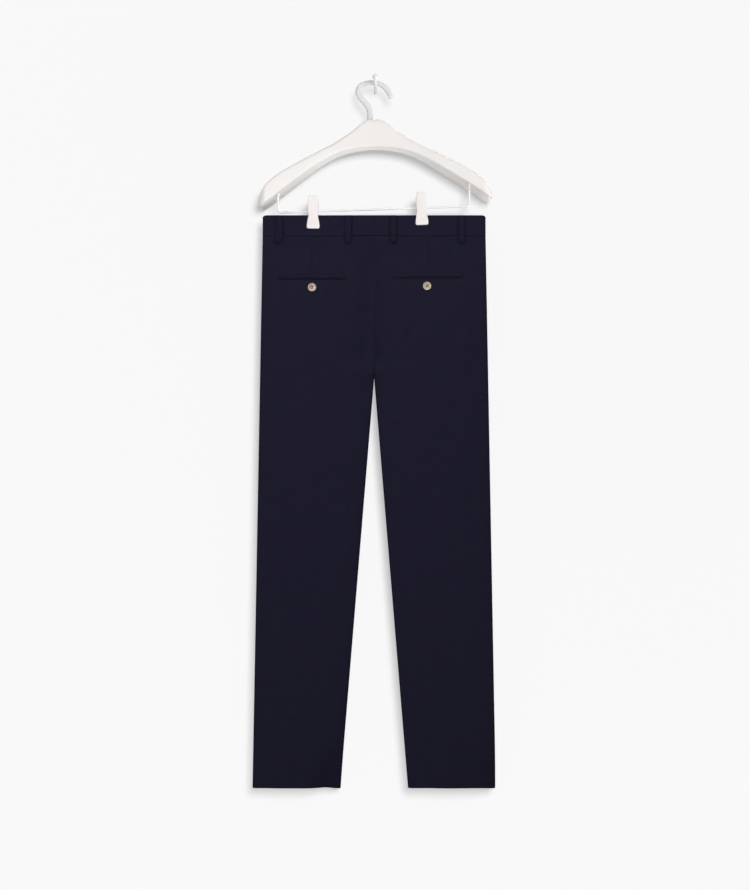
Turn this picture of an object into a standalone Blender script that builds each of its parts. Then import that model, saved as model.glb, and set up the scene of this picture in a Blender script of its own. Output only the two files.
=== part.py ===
"""Chino trousers hung by the waistband from a clip hanger, which hangs on a wall hook.

Frame: the origin is where the wall hook enters the wall, the wall is the plane y = 0, the back of
the trousers faces -Y and +Z is up. Lengths are in millimetres until a mesh is made.

The cloth is a thin wall. A row of the trousers is worked out as a half profile: the distance from
the trousers' centre line, and the depth from the middle plane between the back and the front.
"""
import math

import bmesh
import bpy
import numpy as np
from mathutils import Vector
from mathutils.bvhtree import BVHTree

MM = 0.001
SEAM_GAP = 0.3                   # between two pieces that are sewn or rest together
LAY_GAP = 0.4                    # between a panel and what lies on it
CUT_PAST = 1.2                   # a cutter runs on past the faces it cuts

# Faces of the garment and sides of the body, as signs of Y and X
BACK, FRONT = -1, 1
LEFT, RIGHT = -1, 1
SIDE_NAMES = {LEFT: "left", RIGHT: "right"}

# ---------------------------------------------------------------- trousers, driving sizes
CENTRE_X = -2.4                  # the garment hangs a little left of the wall hook
MIDDLE_Y = -42.0                 # plane between its back and its front
WAIST_TOP = -244.8
WAISTBAND_HEIGHT = 40.0
RISE = 268.0                     # waist seam to crotch
SIDE_LENGTH = 1047.3             # waist seam to hem along the side
HALF_WAIST = 211.8
SIDE_SPREAD = 0.0184             # how much wider each side gets per mm of length
INSEAM_SPREAD = 0.0827
WALL = 1.2
HEM_WALL = 2.6                   # the hem is turned up inside and sewn
HEM_HEIGHT = 30.0
WAISTBAND_WALL = 2.2             # folded double
WAISTBAND_PROUD = 0.5            # it stands this far outside the panels
WAIST_SEAM = WAIST_TOP - WAISTBAND_HEIGHT
FRONT_DIP = 12.0                 # the front waist hangs lower at the centre
DIP_FADE = 150.0
CLIP_FROM_CENTRE = {LEFT: 115.7, RIGHT: 90.2}
CLIP_GRIP = 15.0                 # half the pinched width of the waistband

COLUMNS = 15
ROWS_ABOVE_CROTCH = (SEAM_GAP / 2, 26.0, 54.0, 82.0, 108.0, 132.0, 153.0, 173.0, 194.0, 214.0, 232.0,
                     247.0, 258.0, 264.5)
ROWS_BELOW_CROTCH = 13
ROW_CROWDING = 1.12              # the rows under the crotch start closer together

# Half depth of the garment in the middle of each leg
#             below the seam, back, front
DEPTHS = np.array([(0.0, 10.5, 9.5),
                   (110.0, 17.0, 13.5),
                   (200.0, 17.5, 14.0),
                   (268.0, 15.5, 13.5),
                   (420.0, 13.5, 13.0),
                   (640.0, 13.0, 12.5),
                   (850.0, 12.0, 11.5),
                   (1047.3, 10.0, 10.0)])
DEPTH_COLUMN = {BACK: 1, FRONT: 2}
CENTRE_SHARE = {BACK: 0.80, FRONT: 0.88}   # depth at the centre seam, of the depth mid leg
EDGE_POWER = 0.75                # a leg's section is fuller at its edges than a plain lens
CROTCH_ROUND = 75.0              # the centre seams run together over this height
SADDLE_RISE = 55.0
SEAT_RELAX = 120.0               # below the waist seam the pinched form eases over this height

# Half depth of the waistband, by distance below its top edge
#                below top, at the clip, at the centre, near the side
WAIST_LEVELS = np.array([(0.0, 2.75, 7.5, 5.0),
                         (28.5, 2.75, 8.4, 5.6),
                         (39.85, 5.0, 10.0, 7.0)])
SEAM_LEVEL = (4.5, 9.5, 6.5)     # the panels at the waist seam
FOLD_RADIUS = 3.7

# Broad soft folds in the cloth: a ridge stands out, a hollow goes in
FOLDS_START, FOLDS_FULL = 20.0, 90.0       # below the waist seam
#        face, x, below seam, half width, half length, lean, height
FOLDS = ((BACK, -120.0, 90.0, 34.0, 90.0, 0.10, 1.0),
         (BACK, 62.0, 150.0, 30.0, 110.0, -0.35, 1.1),
         (BACK, -70.0, 330.0, 26.0, 90.0, 0.55, -1.3),
         (BACK, 78.0, 345.0, 28.0, 95.0, -0.50, -1.2),
         (BACK, -150.0, 560.0, 38.0, 150.0, -0.12, 1.0),
         (BACK, 165.0, 610.0, 36.0, 170.0, 0.14, 1.1),
         (BACK, -125.0, 820.0, 34.0, 150.0, 0.10, -0.9),
         (BACK, 138.0, 860.0, 34.0, 140.0, -0.10, -0.8),
         (FRONT, -100.0, 170.0, 30.0, 120.0, 0.25, 1.2),
         (FRONT, 105.0, 160.0, 30.0, 120.0, -0.25, 1.2),
         (FRONT, -80.0, 340.0, 26.0, 80.0, 0.60, -1.2),
         (FRONT, 72.0, 350.0, 28.0, 85.0, -0.55, -1.2),
         (FRONT, -140.0, 600.0, 34.0, 170.0, -0.10, 1.2),
         (FRONT, 150.0, 640.0, 34.0, 160.0, 0.10, 1.1))

# Front pocket openings and fly
POCKET_WIDTH = 38.0
POCKET_DROP = 173.0
POCKET_CURVE = 1.15
POCKET_UNDER = 16.0              # how far the side piece runs on under the front panel
HIDDEN_INSET = 2.1
# Stations across the side piece, from the side edge: share of the opening, added width, inset share
POCKET_STATIONS = ((0.0, 0.0, 0.0),
                   (0.25, 0.0, 0.5),
                   (0.5, 0.0, 1.0),
                   (1.0, 2.0, 1.0),
                   (1.0, 9.0, 1.0),
                   (1.0, POCKET_UNDER, 1.0))
FLY_LENGTH = 173.0
FLY_LAP = 5.0                    # past the centre line
FLY_LAP_WIDTH = 30.0             # the lap eases in over this width
FLY_LIFT = 1.6
FLY_LIFT_START, FLY_LIFT_WIDTH = 13.0, 9.0
FLY_CURVE = 28.0
FLY_RUN_OUT = 21.0
TAB_LENGTH = 28.0                # the waistband's lap past the centre line
TAB_START, TAB_RISE_WIDTH = 9.0, 8.0
TAB_STATIONS = (9.0, 5.0, 1.0, -4.0, -12.0, -20.0, -TAB_LENGTH)
TAB_LIFT = WAISTBAND_WALL + LAY_GAP
ZIP_HALF_WIDTH = 13.0
ZIP_TOP, ZIP_END = 8.0, 152.0
ZIP_INSET = 4.4                  # the tape lies this deep under the lap
TAPE_WALL = 0.9
CHAIN_HALF_WIDTH = 3.0
CHAIN_STEP = 0.2                 # from the tape's wall to the chain's
CHAIN_WALL = 1.9
ZIP_ROWS = 7
# Slider and pull       below the seam, half width, height over the tape
ZIP_SLIDER = ((19.0, 1.6, 0.9),
              (20.0, 3.4, 1.5),
              (27.0, 2.8, 1.5),
              (28.0, 1.8, 0.8),
              (46.0, 2.6, 0.8),
              (48.0, 1.4, 0.8))

# Belt loops. lift is the gap to the waistband at mid height, flare widens the lower end
#             name, face, from centre, lift, flare
BELT_LOOPS = (("belt_loop_back_1", BACK, -181.2, 3.4, 3.4),
              ("belt_loop_back_2", BACK, -49.1, 2.4, 0.0),
              ("belt_loop_back_3", BACK, 36.7, 2.4, 0.0),
              ("belt_loop_back_4", BACK, 165.6, 2.4, 0.0),
              ("belt_loop_front_1", FRONT, -152.0, 2.4, 0.0),
              ("belt_loop_front_2", FRONT, 152.0, 2.4, 0.0))
LOOP_WIDTH = 12.5
LOOP_WALL = 1.6
LOOP_BELOW_SEAM = 14.4
LOOP_TOP_INSET = 1.0             # its top lies this far below the waistband's top edge
LOOP_ROWS = 11
LOOP_FLARE_FROM, LOOP_FLARE_FULL = 0.3, 0.9    # shares of its length
LOOP_ARCH_END, LOOP_ARCH_POWER = 0.94, 0.8     # it is sewn flat past the end of the arch
LOOP_CROWN = 0.35                # its middle stands this much higher than its edges

# Back pockets: two lips each, and a button on the panel under them
#               side, from centre, z, length, tilt per mm, button from centre, button z
BACK_POCKETS = ((LEFT, -118.0, -364.0, 126.0, 0.0, -116.8, -384.3),
                (RIGHT, 102.6, -361.3, 130.0, 0.006, 99.7, -381.7))
LIP_HEIGHT = 4.5
LIP_WALL = 0.9
LIP_STEP = 11.0

# Buttons: a turned profile as radius and height from the seat
BUTTON_PROFILE = ((7.2, 0.0), (7.9, 0.7), (8.0, 1.8), (7.3, 2.6), (6.4, 2.5), (5.4, 1.7))
BUTTON_HEIGHT = 2.6
BUTTON_SIDES = 18
BUTTON_REST_RADIUS = 7.5         # it rests on the highest cloth within this radius
BUTTON_HOLE_RADIUS = 0.9
BUTTON_HOLE_OFFSET = 1.6
WAIST_BUTTON_FROM_CENTRE = 13.0

# ---------------------------------------------------------------- hanger, driving sizes
HANGER_X, HANGER_ROLL_Z = -3.0, -60.0
HANGER_ROLL = math.radians(1.0)  # it hangs with its right arm up
ARM_END = 222.5
END_ROUND = 17.0
END_NARROWING = 0.9
END_HEIGHT = 5.0                 # the arm's least height
ARM_SKEW = 4.2                   # the left arm is this much deeper at its end, the right one less
SKEW_FROM, SKEW_FULL = 95.0, 205.0
#                     from centre, top, bottom of the front face
ARM_PROFILE = np.array([(0.0, -62.4, -114.3),
                        (12.0, -62.8, -114.5),
                        (20.0, -67.1, -115.0),
                        (30.0, -74.3, -116.2),
                        (45.0, -86.4, -118.6),
                        (60.0, -96.3, -122.2),
                        (80.0, -108.6, -129.6),
                        (100.0, -118.7, -139.8),
                        (120.0, -128.9, -152.1),
                        (140.0, -139.3, -165.3),
                        (160.0, -149.6, -178.9),
                        (180.0, -161.1, -192.7),
                        (200.0, -176.6, -207.0),
                        (210.0, -187.0, -213.5),
                        (217.0, -198.0, -217.0),
                        (222.5, -207.0, -214.0)])
#                    from centre, front face, rear face, drop of the rear lower edge
ARM_DEPTHS = np.array([(0.0, -46.0, -22.0, 1.5),
                       (60.0, -47.5, -19.0, 2.2),
                       (140.0, -51.5, -9.0, 3.6),
                       (222.5, -54.0, -5.0, 4.0)])
ARM_STATIONS = (0, 7, 12, 16, 21, 28, 37, 48, 62, 78, 95, 113, 131, 149, 166, 181, 194, 204, 211,
                216, 219.5, 221.8)
TOP_ROUND, BOTTOM_ROUND = 7.5, 1.6

HOOK_Y = -34.0
HOOK_HALF_DEPTH = 3.4
#                     x, z, half width of the band
HOOK_PATH = np.array([(-11.0, -61.8, 5.6),
                      (-10.6, -46.0, 5.5),
                      (-16.6, -32.4, 5.5),
                      (-26.4, -21.0, 5.5),
                      (-32.2, -9.5, 5.5),
                      (-30.4, 0.6, 5.2),
                      (-21.4, 7.4, 4.9),
                      (-8.6, 10.0, 4.6),
                      (4.6, 8.6, 4.6),
                      (16.0, 2.9, 5.0),
                      (24.2, -5.9, 5.5),
                      (29.2, -15.6, 5.3)])
HOOK_STEPS = 2
HOOK_TIP = 4.5
HOOK_TIP_STEPS = (0.5, 0.85)     # shares of the rounded tip

WALL_HOOK_RADIUS = 4.0
WALL_HOOK_REACH = 48.0
WALL_HOOK_TOP = 20.0
WALL_HOOK_BEND = 9.0
DOME_STEPS = (0.0, 0.4, 0.7, 0.9, 0.98)    # shares of the domed tip

BAR_RADIUS = 2.0
BAR_LEFT = (-184.9, -236.8)      # lower left corner of the wire, x and z
BAR_RIGHT = (178.3, -224.8)
BAR_BEND = 8.0
SOCKET_DEPTH = 11.0              # how deep the wire's legs go up into the arms
FOOT_CLEARANCE = 1.0

#        side, x where it grips the bar, lean to the right going down
CLIPS = ((LEFT, -118.1, 0.0),
         (RIGHT, 87.1, math.radians(2.2)))
BARREL_RADIUS = 4.7
BARREL_LENGTH = 17.0
#                      above the bar, half width, inner face, wall
JAW_PROFILE = np.array([(24.4, 7.0, 11.0, 1.6),
                        (23.4, 8.6, 10.6, 2.4),
                        (20.5, 9.7, 10.0, 2.6),
                        (10.0, 9.8, 7.6, 2.6),
                        (0.0, 9.9, 5.1, 2.8),
                        (-9.0, 9.9, 4.5, 2.8),
                        (-18.0, 9.9, 3.3, 2.8),
                        (-25.0, 10.0, 3.1, 2.8),
                        (-29.0, 11.6, 3.1, 2.8),
                        (-32.5, 13.3, 3.1, 2.8),
                        (-35.5, 13.4, 3.1, 2.6),
                        (-37.2, 12.0, 3.1, 1.8)])
JAW_ROUND = 1.0

MATERIALS = {}
SURFACES = {}


# ---------------------------------------------------------------- small helpers
def blend(low, high, share):
    return low + (high - low) * share


def ease(value, start, end):
    """0 before start, 1 after end, and smooth between them."""
    share = min(max((value - start) / (end - start), 0.0), 1.0)
    return share * share * (3.0 - 2.0 * share)


def smooth_column(table, column, at):
    """Read a column of a table along its first one, as a smooth curve through the rows."""
    keys, values = table[:, 0], table[:, column]
    slopes = np.gradient(values, keys)
    row = int(np.clip(np.searchsorted(keys, at) - 1, 0, len(keys) - 2))
    span = keys[row + 1] - keys[row]
    s = min(max((at - keys[row]) / span, 0.0), 1.0)
    return ((2 * s**3 - 3 * s**2 + 1) * values[row] + (s**3 - 2 * s**2 + s) * span * slopes[row]
            + (3 * s**2 - 2 * s**3) * values[row + 1] + (s**3 - s**2) * span * slopes[row + 1])


def smooth_path(points, steps):
    """Points along a smooth curve through the given ones, with the same number of steps each."""
    table = np.column_stack([np.arange(len(points)), points])
    marks = np.linspace(0, len(points) - 1, (len(points) - 1) * steps + 1)
    return np.array([[smooth_column(table, column, mark) for column in range(1, table.shape[1])]
                     for mark in marks])


def rounded_ring(corners, radii, steps=2):
    """A closed outline whose corners are rounded, as a list of 2D points."""
    ring = []
    corners = [np.array(corner, float) for corner in corners]
    for index, corner in enumerate(corners):
        before, after = corners[index - 1], corners[(index + 1) % len(corners)]
        radius = min(radii[index], 0.48 * np.linalg.norm(before - corner),
                     0.48 * np.linalg.norm(after - corner))
        start = corner + (before - corner) / np.linalg.norm(before - corner) * radius
        end = corner + (after - corner) / np.linalg.norm(after - corner) * radius
        for s in np.linspace(0.0, 1.0, steps + 1):
            ring.append((1 - s)**2 * start + 2 * s * (1 - s) * corner + s**2 * end)
    return ring


# ---------------------------------------------------------------- scene, materials, meshes
def clear_scene():
    for old in list(bpy.data.objects):
        bpy.data.objects.remove(old, do_unlink=True)


def add_material(name, colour, roughness, metallic=0.0):
    material = bpy.data.materials.new(name)
    material.use_nodes = True
    shader = material.node_tree.nodes["Principled BSDF"]
    shader.inputs["Base Color"].default_value = (*colour, 1.0)
    shader.inputs["Roughness"].default_value = roughness
    shader.inputs["Metallic"].default_value = metallic
    MATERIALS[name] = material


def add_solid(name, points, faces, material, at=(0.0, 0.0, 0.0)):
    """One closed solid from points in millimetres; its origin is placed at the point given."""
    form = bmesh.new()
    corners = [form.verts.new((np.array(point) - at) * MM) for point in points]
    for face in faces:
        form.faces.new([corners[index] for index in face])
    bmesh.ops.recalc_face_normals(form, faces=form.faces)
    bmesh.ops.triangulate(form, faces=form.faces, quad_method="SHORT_EDGE")
    mesh = bpy.data.meshes.new(name)
    form.to_mesh(mesh)
    bmesh.ops.translate(form, vec=Vector(at) * MM, verts=form.verts)
    SURFACES[name] = BVHTree.FromBMesh(form)
    form.free()
    mesh.shade_smooth()
    mesh.set_sharp_from_angle(angle=math.radians(35.0))
    mesh.materials.append(MATERIALS[material])
    solid = bpy.data.objects.new(name, mesh)
    solid.location = Vector(at) * MM
    bpy.context.collection.objects.link(solid)
    return solid


def add_wall(name, outer, inner, material, at):
    """A sheet with thickness: two grids of points, joined round their borders."""
    rows, columns = len(outer), len(outer[0])
    points = [point for grid in (outer, inner) for row in grid for point in row]

    def corner(layer, row, column):
        return layer * rows * columns + row * columns + column

    faces = []
    for layer in (0, 1):
        for row in range(rows - 1):
            for column in range(columns - 1):
                faces.append((corner(layer, row, column), corner(layer, row, column + 1),
                              corner(layer, row + 1, column + 1), corner(layer, row + 1, column)))
    border = [(0, column) for column in range(columns)]
    border += [(row, columns - 1) for row in range(1, rows)]
    border += [(rows - 1, column) for column in range(columns - 2, -1, -1)]
    border += [(row, 0) for row in range(rows - 2, 0, -1)]
    for (row, column), (next_row, next_column) in zip(border, border[1:] + border[:1]):
        faces.append((corner(0, row, column), corner(0, next_row, next_column),
                      corner(1, next_row, next_column), corner(1, row, column)))
    return add_solid(name, points, faces, material, at)


def add_loft(name, rings, material, at, closed=False):
    """A solid through equal rings of points, with a flat face on each end unless it is closed."""
    count = len(rings[0])
    points = [point for ring in rings for point in ring]
    spans = len(rings) if closed else len(rings) - 1
    faces = []
    for index in range(spans):
        here, there = index * count, (index + 1) % len(rings) * count
        for side in range(count):
            other = (side + 1) % count
            faces.append((here + side, here + other, there + other, there + side))
    if not closed:
        faces.append(tuple(range(count)))
        faces.append(tuple(range((len(rings) - 1) * count, len(rings) * count)))
    return add_solid(name, points, faces, material, at)


def add_wire(name, path, radius, material, shares=None):
    """A round wire along points in millimetres; shares scale its radius at each point."""
    curve = bpy.data.curves.new(name, "CURVE")
    curve.dimensions = "3D"
    curve.bevel_depth = radius * MM
    curve.bevel_resolution = 4
    curve.use_fill_caps = True
    curve.render_resolution_u = 0
    spline = curve.splines.new("POLY")
    spline.points.add(len(path) - 1)
    for index, point in enumerate(path):
        spline.points[index].co = (*(np.array(point) * MM), 1.0)
        spline.points[index].radius = 1.0 if shares is None else shares[index]
    curve.materials.append(MATERIALS[material])
    wire = bpy.data.objects.new(name, curve)
    bpy.context.collection.objects.link(wire)
    return wire


def cut(solid, cutter):
    cutter.hide_render = True
    cutter.display_type = "WIRE"
    step = solid.modifiers.new("cut_" + cutter.name, "BOOLEAN")
    step.operation = "DIFFERENCE"
    step.solver = "EXACT"
    step.object = cutter


def round_rings(start, end, radius, sides=12):
    """Two rings of a straight round pin."""
    start, end = Vector(start), Vector(end)
    turn = (end - start).to_track_quat("Z", "Y")
    rings = []
    for centre in (start, end):
        rings.append([centre + turn @ Vector((radius * math.cos(angle), radius * math.sin(angle), 0))
                      for angle in np.linspace(0.0, 2 * math.pi, sides, endpoint=False)])
    return rings


def outermost(names, x, z, face):
    """The outermost y of the named surfaces on one face of the garment, just round a point."""
    best = None
    for name in names:
        for step in (-0.6, 0.0, 0.6):
            start = Vector((x, MIDDLE_Y + face * 150.0, z + step)) * MM
            hit = SURFACES[name].ray_cast(start, Vector((0.0, -face, 0.0)))[0]
            if hit is not None and (best is None or hit.y * face > best * face):
                best = hit.y
    return best / MM


# ---------------------------------------------------------------- the form of the cloth
def rows_below_seam():
    """Distances below the waist seam: closer together near the crotch, and two at the hem."""
    leg = SIDE_LENGTH - HEM_HEIGHT - RISE
    below = [RISE + leg * (step / ROWS_BELOW_CROTCH)**ROW_CROWDING for step in range(ROWS_BELOW_CROTCH + 1)]
    below[-1] -= SEAM_GAP
    return [*ROWS_ABOVE_CROTCH, *below, SIDE_LENGTH - HEM_HEIGHT, SIDE_LENGTH]


def leg_edges(below):
    """Distance of the side edge and of the inner edge from the centre line."""
    inner = SEAM_GAP / 2 + INSEAM_SPREAD * max(0.0, below - RISE)
    return HALF_WAIST + SIDE_SPREAD * below, inner


def share_across(distance, below):
    """How far round a leg a distance from the centre lies: 0 at the side, 1 at the inner edge."""
    side, inner = leg_edges(below)
    middle, half = (side + inner) / 2, (side - inner) / 2
    return math.acos(min(max((distance - middle) / half, -1.0), 1.0)) / math.pi


def waist_depth(distance, half_width, clip, level):
    """Half depth across the waist: pinched at the clip, fuller on both sides, folded at the side."""
    pinched, middle, outer = level
    if distance < clip - CLIP_GRIP:
        share = 0.5 + 0.5 * math.cos(math.pi * max(distance, 0.0) / (clip - CLIP_GRIP))
        depth = blend(pinched, middle, share)
    elif distance < clip + CLIP_GRIP:
        depth = pinched
    else:
        share = (distance - clip - CLIP_GRIP) / (half_width - clip - CLIP_GRIP)
        depth = blend(pinched, outer, math.sin(math.pi * min(share, 1.0)))
    past = (distance - half_width + FOLD_RADIUS) / FOLD_RADIUS
    return depth * math.sqrt(max(0.0, 1.0 - max(past, 0.0)**2))


def folds_at(face, x, below):
    total = 0.0
    for fold_face, fold_x, fold_below, half_width, half_length, lean, height in FOLDS:
        if fold_face == face:
            along = (below - fold_below) / half_length
            across = (x - fold_x - lean * (below - fold_below)) / half_width
            total += height * math.exp(-across**2 - along**2)
    return total


def cloth_depth(side, face, distance, below):
    """Half depth of the garment on one face, at a distance from the centre line."""
    side_edge, inner_edge = leg_edges(below)
    share = share_across(distance, below)
    edge_form = math.sin(math.pi * share)**EDGE_POWER
    rise = RISE - below
    profile = edge_form
    if share > 0.5 and rise > 0.0:
        closing = math.sqrt(1.0 - (1.0 - min(1.0, rise / CROTCH_ROUND))**2)
        centre = CENTRE_SHARE[face] * closing
        saddle = 0.5 - 0.5 * math.cos(math.pi * (1.0 + math.cos(math.pi * share)))
        fall = blend(edge_form, saddle, ease(rise, 0.0, SADDLE_RISE))
        profile = centre + (1.0 - centre) * fall
    depth = smooth_column(DEPTHS, DEPTH_COLUMN[face], below) * profile
    pinched = waist_depth(distance, side_edge, CLIP_FROM_CENTRE[side], SEAM_LEVEL)
    depth = blend(pinched, depth, ease(below, 0.0, SEAT_RELAX))
    window = min(1.0, 2.0 * math.sin(math.pi * share)) * ease(below, FOLDS_START, FOLDS_FULL)
    return depth + window * folds_at(face, side * distance, below)


def waist_dip(face, distance, below):
    """How much lower the front hangs near the centre; nothing on the back."""
    if face == BACK:
        return 0.0
    share = 0.5 + 0.5 * math.cos(math.pi * min(abs(distance) / HALF_WAIST, 1.0))
    return FRONT_DIP * share * (1.0 - ease(below, 0.0, DIP_FADE))


def inner_line(line, wall, start, end):
    """Offset a half profile inwards. An end is cut on the side plane, the centre plane, or square."""
    line = [np.array(point, float) for point in line]
    ways = [(after - before) / np.linalg.norm(after - before) for before, after in zip(line, line[1:])]
    normals = [np.array([-way[1], way[0]]) for way in ways]
    inner = []
    for index in range(1, len(line) - 1):
        mitre = normals[index - 1] + normals[index]
        inner.append(line[index] + mitre * wall / (1.0 + normals[index - 1] @ normals[index]))

    def cut_end(point, way, normal, kind):
        moved = point + normal * wall
        if kind == "side":
            return moved + way * (SEAM_GAP / 2 - moved[1]) / way[1]
        if kind == "centre":
            return moved + way * (SEAM_GAP / 2 - moved[0]) / way[0]
        return moved

    first = cut_end(line[0], ways[0], normals[0], start)
    last = cut_end(line[-1], ways[-1], normals[-1], end)
    return [first] + inner + [last]


def place(side, face, line, below):
    """Half profile points as points in space; the depth's own sign is kept on a waistband."""
    return [(CENTRE_X + side * distance, MIDDLE_Y + face * depth,
             WAIST_SEAM - below - waist_dip(face, distance, below)) for distance, depth in line]


# ---------------------------------------------------------------- the sewn pieces
def pocket_line(below):
    """Width of the slant pocket opening, from the side edge."""
    if below >= POCKET_DROP:
        return 0.0
    return POCKET_WIDTH * (1.0 - below / POCKET_DROP)**POCKET_CURVE


def fly_lap(below):
    """1 along the fly, running out to 0 over the curve at its lower end."""
    return 1.0 - ease(below, FLY_LENGTH - FLY_CURVE, FLY_LENGTH)


def fly_lift(distance, below):
    """How far the fly's lap stands off the other front; it stays up until the lap has run out."""
    run_out = ease(below, FLY_LENGTH, FLY_LENGTH + FLY_RUN_OUT)
    return FLY_LIFT * ease(FLY_LIFT_START - distance, 0.0, FLY_LIFT_WIDTH) * (1.0 - run_out)


def panel_line(side, face, below):
    """Half profile of a panel at one height, from its side edge to its inner edge."""
    side_edge, inner_edge = leg_edges(below)
    start = share_across(side_edge - pocket_line(below), below) if face == FRONT else 0.0
    lapped = (face, side) == (FRONT, LEFT)
    middle, half = (side_edge + inner_edge) / 2, (side_edge - inner_edge) / 2
    line = []
    for share in np.linspace(start, 1.0, COLUMNS + 1):
        distance = middle + half * math.cos(math.pi * share)
        depth = cloth_depth(side, face, distance, below)
        if lapped:
            distance -= FLY_LAP * fly_lap(below) * ease(FLY_LAP_WIDTH - distance, 0.0, FLY_LAP_WIDTH)
            depth += fly_lift(distance, below)
        line.append((distance, max(depth, SEAM_GAP / 2)))
    return line


def line_ends(side, face, below):
    """How the wall of a panel is cut at its two edges."""
    start = "square" if face == FRONT and below < POCKET_DROP else "side"
    if below >= RISE:
        return start, "side"
    lapped = (face, side) == (FRONT, LEFT) and fly_lap(below) > 0.0
    return start, "square" if lapped else "centre"


def add_panels():
    for side in (LEFT, RIGHT):
        for face, word in ((BACK, "back"), (FRONT, "front")):
            outer, inner = [], []
            for below in rows_below_seam():
                line = panel_line(side, face, below)
                wall = HEM_WALL if below >= SIDE_LENGTH - HEM_HEIGHT else WALL
                start, end = line_ends(side, face, below)
                outer.append(place(side, face, line, below))
                inner.append(place(side, face, inner_line(line, wall, start, end), below))
            name = f"{word}_panel_{SIDE_NAMES[side]}"
            add_wall(name, outer, inner, "chino_twill", (CENTRE_X, MIDDLE_Y, WAIST_SEAM))


def add_pocket_sides():
    """The side piece that shows in each slant pocket and runs on under the front panel."""
    for side in (LEFT, RIGHT):
        outer, inner = [], []
        for below in [below for below in rows_below_seam() if below < POCKET_DROP]:
            side_edge = leg_edges(below)[0]
            width = pocket_line(below)
            line = []
            for share, added, inset in POCKET_STATIONS:
                distance = side_edge - share * width - added
                depth = cloth_depth(side, FRONT, distance, below) - inset * HIDDEN_INSET
                line.append((distance, max(depth, SEAM_GAP / 2)))
            outer.append(place(side, FRONT, line, below))
            inner.append(place(side, FRONT, inner_line(line, WALL, "side", "square"), below))
        add_wall(f"pocket_side_{SIDE_NAMES[side]}", outer, inner, "chino_twill",
                 (CENTRE_X, MIDDLE_Y, WAIST_SEAM))


def waistband_stations(clip):
    """Distances from the centre seam to the start of the side fold, closest round the clip."""
    inside = np.linspace(SEAM_GAP / 2, clip - CLIP_GRIP, 7)
    outside = np.linspace(clip + CLIP_GRIP, HALF_WAIST - FOLD_RADIUS, 8)
    return [*inside, clip, *outside]


def waistband_line(side, below_top):
    """Waistband profile from the centre back, round the side fold, to the front end."""
    clip = CLIP_FROM_CENTRE[side]
    level = [np.interp(below_top, WAIST_LEVELS[:, 0], WAIST_LEVELS[:, column]) for column in (1, 2, 3)]
    stations = waistband_stations(clip)
    fold = [HALF_WAIST - FOLD_RADIUS + FOLD_RADIUS * math.sin(angle)
            for angle in np.radians((32.0, 60.0, 82.0))]
    back = [(distance, BACK * waist_depth(distance, HALF_WAIST, clip, level))
            for distance in stations + fold]
    front = [(distance, -depth) for distance, depth in reversed(back)]
    if side == LEFT:
        other = CLIP_FROM_CENTRE[RIGHT]
        front = [(distance, depth) for distance, depth in front if distance > TAB_START + 3.0]
        for distance in TAB_STATIONS:
            depth = waist_depth(abs(distance), HALF_WAIST, other if distance < 0 else clip, level)
            lift = TAB_LIFT * ease(TAB_START - distance, 0.0, TAB_RISE_WIDTH)
            front.append((distance, depth + lift))
    return back + front


def add_waistbands():
    for side in (LEFT, RIGHT):
        outer, inner = [], []
        for below_top in WAIST_LEVELS[:, 0]:
            line = waistband_line(side, below_top)
            turned = [(distance, -depth) for distance, depth in line]
            wall_line = inner_line(list(reversed(turned)), WAISTBAND_WALL, "square", "centre")
            wall_line = [(distance, -depth) for distance, depth in reversed(wall_line)]
            rows = []
            for points in (line, wall_line):
                rows.append([(CENTRE_X + side * distance, MIDDLE_Y + depth,
                              WAIST_TOP - below_top - waist_dip(FRONT if depth > 0 else BACK, distance, 0))
                             for distance, depth in points])
            outer.append(rows[0])
            inner.append(rows[1])
        add_wall(f"waistband_{SIDE_NAMES[side]}", outer, inner, "chino_twill",
                 (CENTRE_X, MIDDLE_Y, WAIST_TOP))


def add_zip():
    """Zip tape with its chain, in a shallow channel behind the fly, and its slider."""
    right_steps = (CHAIN_HALF_WIDTH, CHAIN_HALF_WIDTH + CHAIN_STEP, 0.6 * ZIP_HALF_WIDTH, ZIP_HALF_WIDTH)
    steps = [-step for step in reversed(right_steps)] + list(right_steps)
    outer, inner = [], []
    for below in np.linspace(ZIP_TOP, ZIP_END, ZIP_ROWS):
        outer_row, inner_row = [], []
        for step in steps:
            side = RIGHT if step > 0 else LEFT
            edge = ease(abs(step), 0.6 * ZIP_HALF_WIDTH, ZIP_HALF_WIDTH)
            depth = cloth_depth(side, FRONT, abs(step), below) - blend(ZIP_INSET, WALL + LAY_GAP, edge)
            wall = CHAIN_WALL if abs(step) <= CHAIN_HALF_WIDTH else TAPE_WALL
            z = WAIST_SEAM - below - waist_dip(FRONT, step, below)
            outer_row.append((CENTRE_X + step, MIDDLE_Y + depth, z))
            inner_row.append((CENTRE_X + step, MIDDLE_Y + depth - wall, z))
        outer.append(outer_row)
        inner.append(inner_row)
    add_wall("fly_zip", outer, inner, "zip_tape", (CENTRE_X, MIDDLE_Y, WAIST_SEAM))
    middle_z = WAIST_SEAM - (ZIP_SLIDER[1][0] + ZIP_SLIDER[2][0]) / 2
    seat = outermost(["fly_zip"], CENTRE_X, middle_z, FRONT) + SEAM_GAP
    rings = []
    for below, half_width, height in ZIP_SLIDER:
        corners = ((-half_width, 0.0), (half_width, 0.0), (half_width, height), (-half_width, height))
        rings.append([(CENTRE_X + x, seat + y, WAIST_SEAM - below) for x, y in corners])
    add_loft("zip_slider", rings, "zip_metal", (CENTRE_X, seat, middle_z))


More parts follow.
